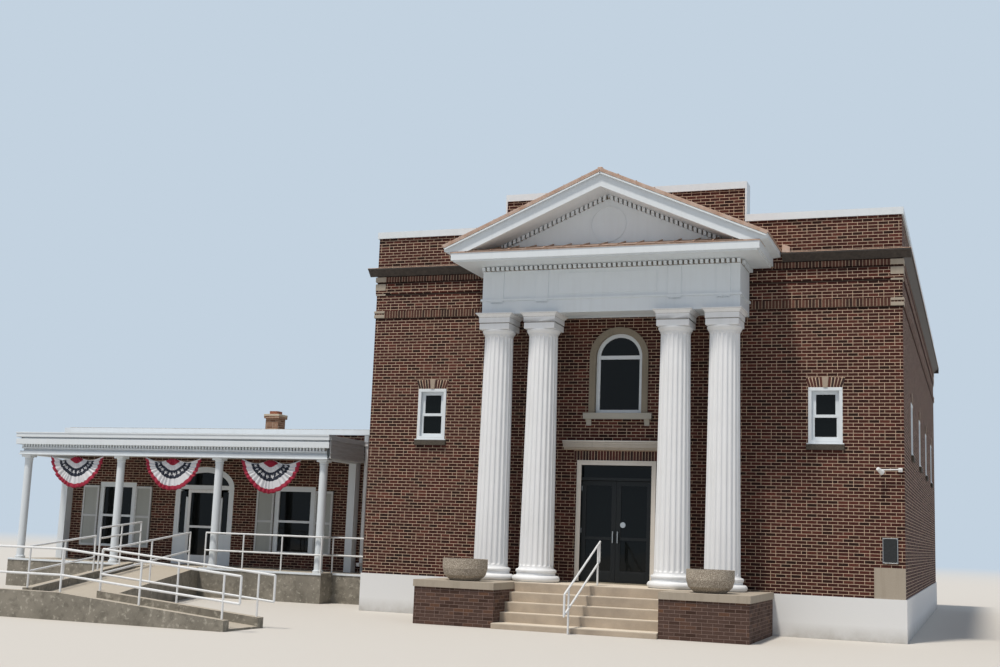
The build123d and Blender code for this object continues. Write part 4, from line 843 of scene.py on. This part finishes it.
class BuildEntablature(bpy.types.Operator):
    """Blank triglyph boards, their bars of drops, and the moulding on the wall behind the columns"""

    bl_idname = "town_hall.entablature"
    bl_label = "Entablature trim"

    def execute(self, context):
        bm = bmesh.new()
        face, half = FRIEZE_FACE, 0.142
        for x in COLUMN_SPOTS:
            block(bm, about(x, half), (face - 0.014, face + 0.004), (6.797, 7.376), 0.003)
            block(bm, about(x, half), (face - 0.028, face + 0.004), (6.722, 6.750), 0.002)
            for drop in range(6):
                middle = x - half + half / 6 + drop * half / 3
                cone(bm, 0.0135, 0.0095, 0.030, Matrix.Translation((middle, face - 0.014, 6.707)), 10)
        # The open joint over the band of the beam
        block(bm, (-2.700, 2.700), (face - 0.004, face + 0.004), (6.7955, 6.8005), 0.001)
        # The lettering board of the frieze, left bare
        block(bm, (-1.06, 1.06), (face - 0.010, face + 0.004), (6.875, 7.315), 0.002)
        piece("triglyph_boards", bm, "white_wood")
        bm, fillets = bmesh.new(), bmesh.new()
        # Painted shade: dark strips behind the dentils of the cornice, its returns and the rakes
        block(bm, (-2.776, 2.776), (face - 0.003, face + 0.001), (7.402, 7.494))
        for side in (-1, 1):
            block(bm, (side * 2.779, side * 2.783), (-1.06, -0.03), (7.402, 7.494))
            block(bm, (side * 0.04, side * 2.86), (-1.1335, -1.1295), (-0.090, -0.003), 0.0, on_rake(side, 8.972))
            block(fillets, (side * 0.012, side * RAKE_RUN), (-1.864, -1.849), (-0.078, -0.048), 0.003, on_rake(side))
        piece("dentil_gaps", bm, "dark_tone")
        piece("rake_fillets", fillets, "white_wood")
        bm = bmesh.new()
        for reach, z in ((0.020, (6.53, 6.57)), (0.045, (6.57, 6.60))):
            block(bm, (-2.36, 2.36), (-reach, 0.004), z, 0.004)
        piece("portico_wall_moulding", bm, "white_wood")
        return {"FINISHED"}


class BuildCopper(bpy.types.Operator):
    """Copper flashing with folded seams on the cornice shelf, and drip edges up the gable"""

    bl_idname = "town_hall.copper"
    bl_label = "Copper flashing"

    def execute(self, context):
        bm = bmesh.new()
        top, front = 7.702, -1.81
        lip, across = front - 0.012, about(0, 3.27 + 0.012)
        block(bm, across, (lip, -1.135), (top, top + 0.008), 0.002)
        block(bm, across, (lip, front - 0.001), (top - 0.020, top + 0.008), 0.002)
        # The apron slopes up to the tympanum between the rakes, in bays with standing seams
        end, back, rise = 2.95, -1.132, 0.215
        profile = ((lip, top - 0.006), (lip, top + 0.012), (back, top + rise), (back, top - 0.006))
        face = bm.faces.new([bm.verts.new((-end, y, z)) for y, z in profile])
        apron = bmesh.ops.extrude_face_region(bm, geom=[face], use_keep_orig=True)["geom"]
        far = [g for g in apron if isinstance(g, bmesh.types.BMVert)]
        bmesh.ops.translate(bm, verts=far, vec=(2 * end, 0, 0))
        slope, seams, bay = math.atan2(rise, back - front), 15, 0.393
        for seam in range(seams):
            x = bay * (seam - (seams - 1) / 2)
            turn = Matrix.Translation((x, lip, top + 0.010)) @ Matrix.Rotation(slope, 4, "X")
            block(bm, about(0, 0.007), (0, (back - front) / math.cos(slope)), (-0.01, 0.022), 0.003, turn)
        piece("cornice_flashing", bm, "copper")
        bm = bmesh.new()
        low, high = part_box("portico_roof")
        bays = 9
        for side in (-1, 1):
            for seam in range(1, bays):
                x = high.x * seam / bays
                turn = on_rake(side, high.z - RAKE_RISE * x, x)
                block(bm, about(0, 0.008), (low.y + 0.004, -0.02), (-0.012, 0.018), 0.004, turn)
            block(bm, (0.0, side * RAKE_RUN), (-1.868, -1.849), (-0.034, 0.008), 0.003, on_rake(side))
        block(bm, about(0, 0.05), (low.y + 0.002, -0.02), about(high.z, 0.012), 0.006)
        piece("gable_roof_seams", bm, "copper")
        return {"FINISHED"}


class BuildBrickTrim(bpy.types.Operator):
    """Jack arches over the windows, the upright bricks over the door, the corner stones, and the ledge's copper lip"""

    bl_idname = "town_hall.brick_trim"
    bl_label = "Brick and stone trim"

    def execute(self, context):
        self.jack_arches()
        self.door_course()
        self.corner_stones()
        self.ledge_flashing()
        return {"FINISHED"}

    def jack_arches(self):
        bm, bed = bmesh.new(), bmesh.new()
        pitch, tall = 0.0575, 0.205
        for wall, along in SASHES:
            turn = on_wall(wall, along) @ Matrix.Translation((0, 0, SASH_HEAD))
            corners = block(bed, about(0, 0.44), (-0.0015, 0.003), (0, tall))
            for v in corners:
                v.co.x *= 0.88 if v.co.z > tall / 2 else 0.78
            bmesh.ops.transform(bed, matrix=turn, verts=corners)
            for side in (-1, 1):
                for brick in range(5):
                    place = Matrix.Translation((side * (0.046 + pitch * (brick + 0.5)), 0, 0))
                    lean = Matrix.Rotation(side * math.radians(5 + 3.4 * brick), 4, "Y")
                    block(bm, about(0, 0.024), (-0.006, 0.003), (0.004, tall), 0.002, turn @ place @ lean)
        piece("jack_arch_bricks", bm, "single_bricks")
        piece("jack_arch_mortar", bed, "mortar")

    def door_course(self):
        bm, bed = bmesh.new(), bmesh.new()
        count = 29
        for brick in range(count):
            x = -0.948 + 1.896 * (brick + 0.5) / count
            block(bm, about(x, 0.0275), (-0.006, 0.003), (3.438, 3.640), 0.002)
        piece("door_soldier_course", bm, "single_bricks")
        block(bed, about(0, 0.95), (-0.0015, 0.003), (3.434, 3.648))
        piece("door_course_mortar", bed, "mortar")

    def ledge_flashing(self):
        """Copper drip strip along the ledge's lip, and the upstand where the ledge meets the gable roof."""
        reach, lip = 0.180, 7.790
        out = BLOCK_HALF + reach
        strip = (lip - 0.006, lip + 0.005)
        bm = bmesh.new()
        for side in (-1, 1):
            block(bm, (side * 3.56, side * (out + 0.005)), (-reach - 0.006, -reach + 0.004), strip, 0.002)
            block(bm, (side * (out - 0.004), side * (out + 0.006)), (-reach, BLOCK_DEPTH - 0.02), strip, 0.002)
            for v in block(bm, (side * 3.46, side * 3.62), (-0.052, -0.002), (lip + 0.024, 8.0)):
                if v.co.z > 7.9 and abs(v.co.x) > 3.6:
                    v.co.z -= 0.07
        piece("ledge_flashing", bm, "copper")

    def corner_stones(self):
        bm = bmesh.new()
        # Foot and head of each stone, and how far it stands before the wall
        stones = ((6.640, 6.716, 0.030), (6.750, 6.802, 0.034), (7.168, 7.212, 0.018))
        stones += ((7.286, 7.440, 0.030), (7.486, 7.602, 0.034))
        for foot, head, out in stones:
            for side in (-1, 1):
                x = (side * (BLOCK_HALF + out), side * (BLOCK_HALF - 0.228))
                block(bm, x, (-out, 0.258 - out), (foot, head), 0.006)
                block(bm, x, (BLOCK_DEPTH + out, BLOCK_DEPTH + out - 0.258), (foot, head), 0.006)
        piece("corner_stones", bm, "limestone")


class BuildWindows(bpy.types.Operator):
    """White casings, inner sashes and wooden sills of the upper windows"""

    bl_idname = "town_hall.windows"
    bl_label = "Upper windows"

    # Boards round one window: ends along the wall, into it and up. One that lies off the middle has a twin
    boards = (
        ((0.272, 0.340), (-0.007, 0.062), (3.840, 4.990)),
        ((-0.339, 0.339), (-0.010, 0.062), (4.922, 4.988)),
        ((-0.339, 0.339), (-0.012, 0.070), (3.832, 3.920)),
        ((-0.372, 0.372), (-0.044, -0.001), (3.831, 3.853)),
        ((0.192, 0.282), (0.072, 0.0975), (4.430, 4.925)),
        ((-0.282, 0.282), (0.070, 0.0975), (4.850, 4.930)),
        ((0.218, 0.282), (0.064, 0.0975), (3.910, 4.400)),
        ((-0.282, 0.282), (0.062, 0.0975), (3.905, 3.985)),
    )

    def execute(self, context):
        bm = bmesh.new()
        for wall, along in SASHES:
            for x, y, z in self.boards:
                for side in (-1, 1) if x[0] > 0 else (1,):
                    block(bm, (side * x[0], side * x[1]), y, z, 0.004, on_wall(wall, along))
        piece("upper_window_casings", bm, "white_wood")
        return {"FINISHED"}


class BuildDoorHardware(bpy.types.Operator):
    """Pulls, lock, hinges, kick plates and casing of the street doors, and the wall's plaque and lamp"""

    bl_idname = "town_hall.door_hardware"
    bl_label = "Door hardware and plaque"

    def execute(self, context):
        for side, name in ((-1, "left_door"), (1, "right_door")):
            bm = bmesh.new()
            x, z = side * 0.053, 1.826
            rod(bm, (x, -0.002, z - 0.122), (x, -0.002, z + 0.122), 0.0145)
            for foot in about(z, 0.094):
                rod(bm, (x, 0.0, foot), (x, 0.056, foot), 0.0135)
            for hinge in (1.06, 1.95, 2.84):
                rod(bm, (side * 0.764, 0.050, hinge - 0.05), (side * 0.764, 0.050, hinge + 0.05), 0.008)
            if side > 0:
                for foot, head, y, sides in ((0.062, 0.058, 0.052, 32), (0.020, 0.018, 0.047, 24)):
                    place = Matrix.Translation((x + 0.10, y, z + 0.26)) @ Matrix.Rotation(math.pi / 2, 4, "X")
                    cone(bm, foot, head, 0.008, place, sides)
            piece(f"{name}_hardware", bm, "steel", body=name)
            bm = bmesh.new()
            block(bm, (side * 0.10, side * 0.64), (0.049, 0.056), (0.93, 1.10), 0.002)
            piece(f"{name}_kick_plate", bm, "dark_metal", body=name)
        self.casing()
        self.plaque()
        self.lamp()
        return {"FINISHED"}

    def casing(self):
        """Boards beside and over the door, and the fillets of the hood."""
        bm = bmesh.new()
        back = -0.0155
        for side in (-1, 1):
            for x, front in (((0.768, 0.862), -0.024), ((0.835, 0.866), -0.036)):
                block(bm, (side * x[0], side * x[1]), (front, back), (PLATFORM_TOP + 0.03, 3.432), 0.004)
        block(bm, about(0, 0.866), (-0.026, back), (3.336, 3.434), 0.004)
        block(bm, about(0, 0.870), (-0.038, back), (3.405, 3.436), 0.004)
        block(bm, about(0, 1.176), (-0.166, -0.001), (3.822, 3.852), 0.005)
        block(bm, about(0, 1.172), (-0.160, -0.001), (3.790, 3.800), 0.003)
        piece("door_casing", bm, "cream_wood")

    def plaque(self):
        """The wall's metal plaque, left bare, with a raised rim and four screws."""
        bm = bmesh.new()
        block(bm, (5.432, 5.708), (-0.027, 0.004), (1.523, 2.000), 0.004)
        piece("bare_wall_plaque", bm, "plaque")
        bm = bmesh.new()
        for left in (5.425, 5.702):
            block(bm, (left, left + 0.013), (-0.031, -0.002), (1.516, 2.007), 0.003)
        for foot in (1.516, 1.994):
            block(bm, (5.425, 5.715), (-0.030, -0.002), (foot, foot + 0.013), 0.003)
        for x in (5.452, 5.688):
            for z in (1.543, 1.980):
                rod(bm, (x, -0.033, z), (x, -0.020, z), 0.006, 10)
        piece("plaque_rim", bm, "steel")

    def lamp(self):
        bm = bmesh.new()
        block(bm, (5.735, 5.815), (-0.045, 0.004), (3.300, 3.380), 0.008)
        rod(bm, (5.775, -0.030, 3.34), (5.775, -0.110, 3.34), 0.013, 12)
        rod(bm, (5.42, -0.110, 3.335), (5.79, -0.110, 3.345), 0.013, 12)
        head = Matrix.Translation((5.395, -0.150, 3.315)) @ Matrix.Rotation(math.radians(-38), 4, "Z")
        cone(bm, 0.055, 0.034, 0.15, head @ Matrix.Rotation(math.radians(60), 4, "X"), 24)
        piece("wall_lamp", bm, "white_metal")


class BuildPlanters(bpy.types.Operator):
    """Soil in the two aggregate bowls"""

    bl_idname = "town_hall.planters"
    bl_label = "Planter soil"

    def execute(self, context):
        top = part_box("planters")[1].z - 0.055
        heap = ((0.0, -0.04), (0.372, -0.04), (0.375, -0.008), (0.28, 0.012), (0.15, 0.026), (0.0, 0.03))
        bm = bmesh.new()
        for x in about(0, 2.47):
            turned(bm, [(r, top + z) for r, z in heap], x, -2.25, steps=40)
        piece("planter_soil", bm, "soil")
        return {"FINISHED"}


class BuildPorch(bpy.types.Operator):
    """Bell capitals and foot rings of the porch columns, siding, gutter box and the deck's white edge"""

    bl_idname = "town_hall.porch"
    bl_label = "Porch trim"

    def execute(self, context):
        self.column_mouldings()
        self.entablature()
        self.siding()
        self.shutter_boards()
        bm = bmesh.new()
        low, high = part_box("downspout")
        left, right = low.x - 0.004, high.x + 0.012
        block(bm, (low.x - 0.008, high.x + 0.03), (3.215, 3.345), (4.00, 4.186), 0.008)
        block(bm, (left, right), (3.235, 3.345), (3.90, 4.005), 0.008)
        for z in (1.20, 2.20, 3.20):
            block(bm, (left, right), (3.256, 3.349), (z, z + 0.03), 0.003)
        piece("gutter_box", bm, "white_metal")
        bm = bmesh.new()
        strip = (DECK_TOP - 0.045, DECK_TOP + 0.004)
        block(bm, (-16.89, -7.60), (1.335, 1.352), strip, 0.003)
        block(bm, (-7.60, -5.88), (1.935, 1.952), strip, 0.003)
        piece("deck_edge_strip", bm, "white_wood")
        return {"FINISHED"}

    def column_mouldings(self):
        bm = bmesh.new()
        bell = ((0.0, 3.30), (0.100, 3.30), (0.112, 3.304), (0.118, 3.312), (0.112, 3.320), (0.104, 3.324))
        bell += ((0.106, 3.345), (0.114, 3.366), (0.130, 3.388), (0.156, 3.408), (0.186, 3.420), (0.190, 3.438))
        bell += ((0.0, 3.438),)
        foot = [(0.0, DECK_TOP), (0.132, DECK_TOP), (0.132, DECK_TOP + 0.03)]
        foot += arc(0.112, DECK_TOP + 0.048, 0.018, -60, 90, 4) + [(0.102, DECK_TOP + 0.072), (0.0, DECK_TOP + 0.072)]
        for x in PORCH_COLUMNS:
            for profile in (bell, foot):
                turned(bm, profile, x, PORCH_LINE, steps=40)
        piece("porch_column_mouldings", bm, "white_wood")

    def entablature(self):
        """Gutter board, lower fascia, dentil row, frieze board and bottom band round the porch beam."""
        low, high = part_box("porch_beams")
        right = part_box("porch_roof")[1].x + 0.01
        bm = bmesh.new()
        # How far each band stands before the beam, and its foot and head
        bands = ((0.150, 3.902, 4.026), (0.142, 3.712, 3.856), (0.056, 3.442, 3.540), (0.078, 3.441, 3.466))
        bands += ((0.118, 3.990, 4.030), (0.165, 4.004, 4.030), (0.030, 3.600, 3.640))
        for reach, *z in bands:
            end = right if reach > 0.1 else high.x + reach
            block(bm, (low.x - reach, end), (low.y - reach, low.y + 0.002), z, 0.004)
            block(bm, (low.x - reach, low.x + 0.002), (low.y - reach + 0.01, high.y - 0.002), z, 0.004)
        pitch, half, reach, z = 0.09, 0.0225, 0.062, (3.642, 3.712)
        for tooth in range(int((high.x - low.x) / pitch)):
            x = low.x + pitch * (tooth + 0.5)
            block(bm, about(x, half), (low.y - reach, low.y + 0.002), z)
        for tooth in range(int((high.y - low.y) / pitch)):
            y = low.y + pitch * (tooth + 0.5)
            block(bm, (low.x - reach, low.x + 0.002), about(y, half), z)
        piece("porch_entablature", bm, "white_wood")
        # Painted shade: a dark strip behind the dentils along the front and the left end
        bm = bmesh.new()
        block(bm, (low.x - 0.004, high.x), (low.y - 0.004, low.y + 0.002), z)
        block(bm, (low.x - 0.004, low.x + 0.002), (low.y, high.y - 0.01), z)
        piece("porch_dentil_painted_shade", bm, "dark_tone")

    def shutter_boards(self):
        """Raised stiles and rails of the four shutters, with a middle rail."""
        low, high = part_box("shutters")
        stile, rail = 0.055, 0.06
        bm = bmesh.new()
        for middle in (-15.07, -9.54):
            for side in (-1, 1):
                inner = middle + side * 0.602
                left, right = sorted((inner, inner + side * 0.52))
                for x in (left, right - stile):
                    block(bm, (x, x + stile), (low.y - 0.009, low.y + 0.002), (low.z, high.z), 0.003)
                for z in (low.z, (low.z + high.z) / 2 - 0.03, high.z - rail):
                    block(bm, (left, right), (low.y - 0.008, low.y + 0.002), (z, z + rail), 0.003)
        piece("shutter_boards", bm, "siding")

    def siding(self):
        """Lapped boards closing the right end of the porch, with a soffit board under them."""
        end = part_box("porch_roof")[1].x
        bm = bmesh.new()
        foot, top, boards = 3.475, 4.018, 5
        step = (top - foot) / boards
        for board in range(boards):
            z = foot + step * board
            for v in block(bm, (end + 0.002, end + 0.012), (1.36, 3.20), (z, z + step + 0.01)):
                if v.co.z < z + 0.001 and v.co.x > end + 0.005:
                    v.co.x += 0.020
        block(bm, (-7.689, end + 0.018), (1.44, 3.20), (3.470, 3.486), 0.003)
        piece("porch_end_siding", bm, "siding")


class BuildBunting(bpy.types.Operator):
    """Three pleated fans of printed cloth hung under the porch beam"""

    bl_idname = "town_hall.bunting"
    bl_label = "Bunting"

    def execute(self, context):
        for number, x in enumerate((-15.07, -12.09, -9.24)):
            self.fan(f"bunting_fan_{number + 1}", x, number)
        return {"FINISHED"}

    def fan(self, name, centre, seed):
        sizes = hall()[1]
        half, drop = sizes.bunting_half, sizes.bunting_drop
        # Height of the gathered edge, the plane the cloth hangs in, and how far a fold may leave it
        top, line, most = 3.436, 1.482, 0.029
        bm = bmesh.new()
        bm.loops.layers.uv.new("fan")
        columns = sizes.pleats * 10
        for v in bmesh.ops.create_grid(bm, x_segments=columns, y_segments=22, size=1, calc_uvs=True)["verts"]:
            u, out = (v.co.x + 1) / 2, (v.co.y + 1) / 2
            angle = math.pi * (1 - u)
            level, upright = abs(math.cos(angle)), abs(math.sin(angle))
            # The outline is a little squarer than an ellipse
            outline = (level**1.8 / half**1.8 + upright**1.8 / drop**1.8) ** (-1 / 1.8)
            reach = outline * (0.05 + 0.95 * out)
            wave = (u * sizes.pleats + noise.noise((u * 5, seed * 3.1, 0.4)) * 0.9) * math.tau
            fold = math.sin(wave) + 0.18 * math.sin(3 * wave)
            deep = (0.007 + 0.026 * out**0.5) * (0.6 + 0.9 * noise.noise((u * 8, 2.0, seed * 1.7)))
            sag = 0.115 * math.sin(math.pi * min(1.0, reach / half)) * level**6
            loose = 0.012 * noise.noise((u * 9, out * 3, seed + 7.7))
            hem = 1 + 0.035 * noise.noise((u * 7, seed * 2.3, 5.0)) * out
            x = centre + reach * math.cos(angle) * (1 + 0.01 * math.sin(2 * wave) * out)
            z = top - reach * math.sin(angle) * hem - sag - 0.008 * out * (1 - math.cos(wave))
            v.co = (x, line + max(-most, min(most, loose * out - fold * deep)), min(z, top))
        area = sum(f.calc_area() for f in bm.faces)
        fan = meshed(name, bm, finish("bunting"))
        cloth = fan.modifiers.new("cloth", "SOLIDIFY")
        cloth.thickness, cloth.offset = 0.0012, 0.0
        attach(fan, "base")
        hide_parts("bunting")


class BuildRoofs(bpy.types.Operator):
    """Gravel on the flat roofs, and the chimney's cap and flue tile"""

    bl_idname = "town_hall.roofs"
    bl_label = "Flat roofs"

    def execute(self, context):
        bm = bmesh.new()
        block(bm, (-5.49, 5.49), (0.36, BLOCK_DEPTH - 0.36), (8.052, 8.075), 0.004)
        low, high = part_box("wing_roof")
        x, y = (low.x + 0.10, high.x - 0.02), (low.y + 0.10, high.y - 0.10)
        block(bm, x, y, (high.z + 0.001, high.z + 0.018), 0.004)
        piece("roof_gravel", bm, "gravel")
        self.chimney_top()
        return {"FINISHED"}

    def chimney_top(self):
        """A thin stone cap on the chimney and the clay flue tile that stands through it."""
        low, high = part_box("chimney")
        x, y, half = (low.x + high.x) / 2, (low.y + high.y) / 2, (high.x - low.x) / 2
        bm = bmesh.new()
        block(bm, about(x, half + 0.006), about(y, half + 0.006), (high.z - 0.060, high.z + 0.006), 0.006)
        piece("chimney_cap", bm, "cap_stone")
        bm = bmesh.new()
        outer, inner, z = 0.145, 0.115, (high.z - 0.02, high.z + 0.110)
        for side in (-1, 1):
            block(bm, (x + side * outer, x + side * inner), about(y, outer), z, 0.004)
            block(bm, about(x, inner), (y + side * outer, y + side * inner), z, 0.004)
        piece("flue_tile", bm, "clay")


class BuildStage(bpy.types.Operator):
    """Pale floor, even studio light and the camera at the photograph's place"""

    bl_idname = "town_hall.stage"
    bl_label = "Stage, light and camera"

    backdrop = "#c3d2e0"

    def execute(self, context):
        context.scene.view_settings.view_transform = "Standard"
        self.floor()
        self.light(context.scene)
        self.camera(context.scene)
        return {"FINISHED"}

    def seen(self, add):
        """1 for what the camera sees, also in gloss and through glass, and 0 for what lights the pieces."""
        rays = add("LightPath").node.outputs
        clear = add("Math MAXIMUM", rays["Is Camera Ray"], rays["Is Glossy Ray"])
        return add("Math MAXIMUM", clear, rays["Is Transmission Ray"])

    def floor(self):
        """A floor that fades into the backdrop far away."""
        material = bpy.data.materials.new("studio_floor_paint")
        add = emptied(material)
        away = add("VectorMath LENGTH", add("TexCoord", out="Object"))
        far = add("MapRange", away, 45.0, 170.0, 0.0, 1.0, interpolation_type="SMOOTHSTEP")
        paint = add("BsdfPrincipled", **{"Base Color": "#c2bfb9", "Roughness": 0.9})
        glow = add("Emission", self.backdrop, 1.0)
        add("OutputMaterial", add("MixShader", add("Math MULTIPLY", far, self.seen(add)), paint, glow))
        bm = bmesh.new()
        bmesh.ops.create_circle(bm, cap_ends=True, segments=96, radius=400.0)
        floor = meshed("studio_floor", bm, material)
        floor.location.z = -0.002

    def light(self, scene):
        """Even light from all sides, and a soft key light from high on the left in front."""
        sizes = hall()[1]
        scene.world = bpy.data.worlds.new("studio_light")
        add = emptied(scene.world)
        even = add("Background", Color="#dfe9fa", Strength=sizes.fill)
        backdrop = add("Background", Color=self.backdrop, Strength=1.0)
        add("OutputWorld", add("MixShader", self.seen(add), even, backdrop))
        lamp = bpy.data.lights.new("key_light", "SUN")
        lamp.energy, lamp.angle, lamp.color = sizes.sun, math.radians(6), linear("#fff6ea")[:3]
        shown("key_light", lamp).rotation_euler = Vector((0.42, 1.0, -2.6)).to_track_quat("-Z", "Y").to_euler()

    def camera(self, scene):
        """The camera where the photograph was taken: 1.75 m up, turned left, tipped up and rolled a little."""
        yaw, pitch, roll = math.radians(20.49), math.radians(8.92), math.radians(2.193)
        forward = Vector((-math.sin(yaw) * math.cos(pitch), math.cos(yaw) * math.cos(pitch), math.sin(pitch)))
        level = Vector((math.cos(yaw), math.sin(yaw), 0))
        above = level.cross(forward)
        right = math.cos(roll) * level + math.sin(roll) * above
        up = -math.sin(roll) * level + math.cos(roll) * above
        camera = shown("photo_camera", bpy.data.cameras.new("photo_camera"))
        # Focal length in pixels of a frame 1000 wide, as millimetres of a 36 mm sensor
        camera.data.lens = 1292.88 * 36 / 1000
        camera.data.clip_end = 1000
        turn = Matrix((right, up, -forward)).transposed().to_4x4()
        camera.matrix_world = Matrix.Translation((7.231, -26.730, 1.750)) @ turn
        scene.camera = camera


OPERATORS = (
    DressFrame,
    BuildColumns,
    BuildEntablature,
    BuildCopper,
    BuildBrickTrim,
    BuildWindows,
    BuildDoorHardware,
    BuildPlanters,
    BuildPorch,
    BuildBunting,
    BuildRoofs,
    BuildStage,
)


class TownHallPanel(bpy.types.Panel):
    """Pieces of the town hall and their settings"""

    bl_idname = "VIEW3D_PT_town_hall"
    bl_label = "Town hall"
    bl_space_type = "VIEW_3D"
    bl_region_type = "UI"
    bl_category = "Town hall"

    def draw(self, context):
        for operator in OPERATORS:
            self.layout.operator(operator.bl_idname)
        for group in hall():
            for name in group.bl_rna.properties.keys():
                if name not in ("rna_type", "name"):
                    self.layout.prop(group, name)


CLASSES = (TownHallFinishes, TownHallSizes, *OPERATORS, TownHallPanel)


def register():
    for kind in CLASSES:
        bpy.utils.register_class(kind)
    bpy.types.Scene.town_hall_finishes = bpy.props.PointerProperty(type=TownHallFinishes)
    bpy.types.Scene.town_hall_sizes = bpy.props.PointerProperty(type=TownHallSizes)


def unregister():
    del bpy.types.Scene.town_hall_sizes
    del bpy.types.Scene.town_hall_finishes
    for kind in reversed(CLASSES):
        bpy.utils.unregister_class(kind)


def main():
    """Register the panel, and build every piece in order."""
    register()
    for operator in OPERATORS:
        group, name = operator.bl_idname.split(".")
        getattr(getattr(bpy.ops, group), name)()


if __name__ == "__main__":
    main()
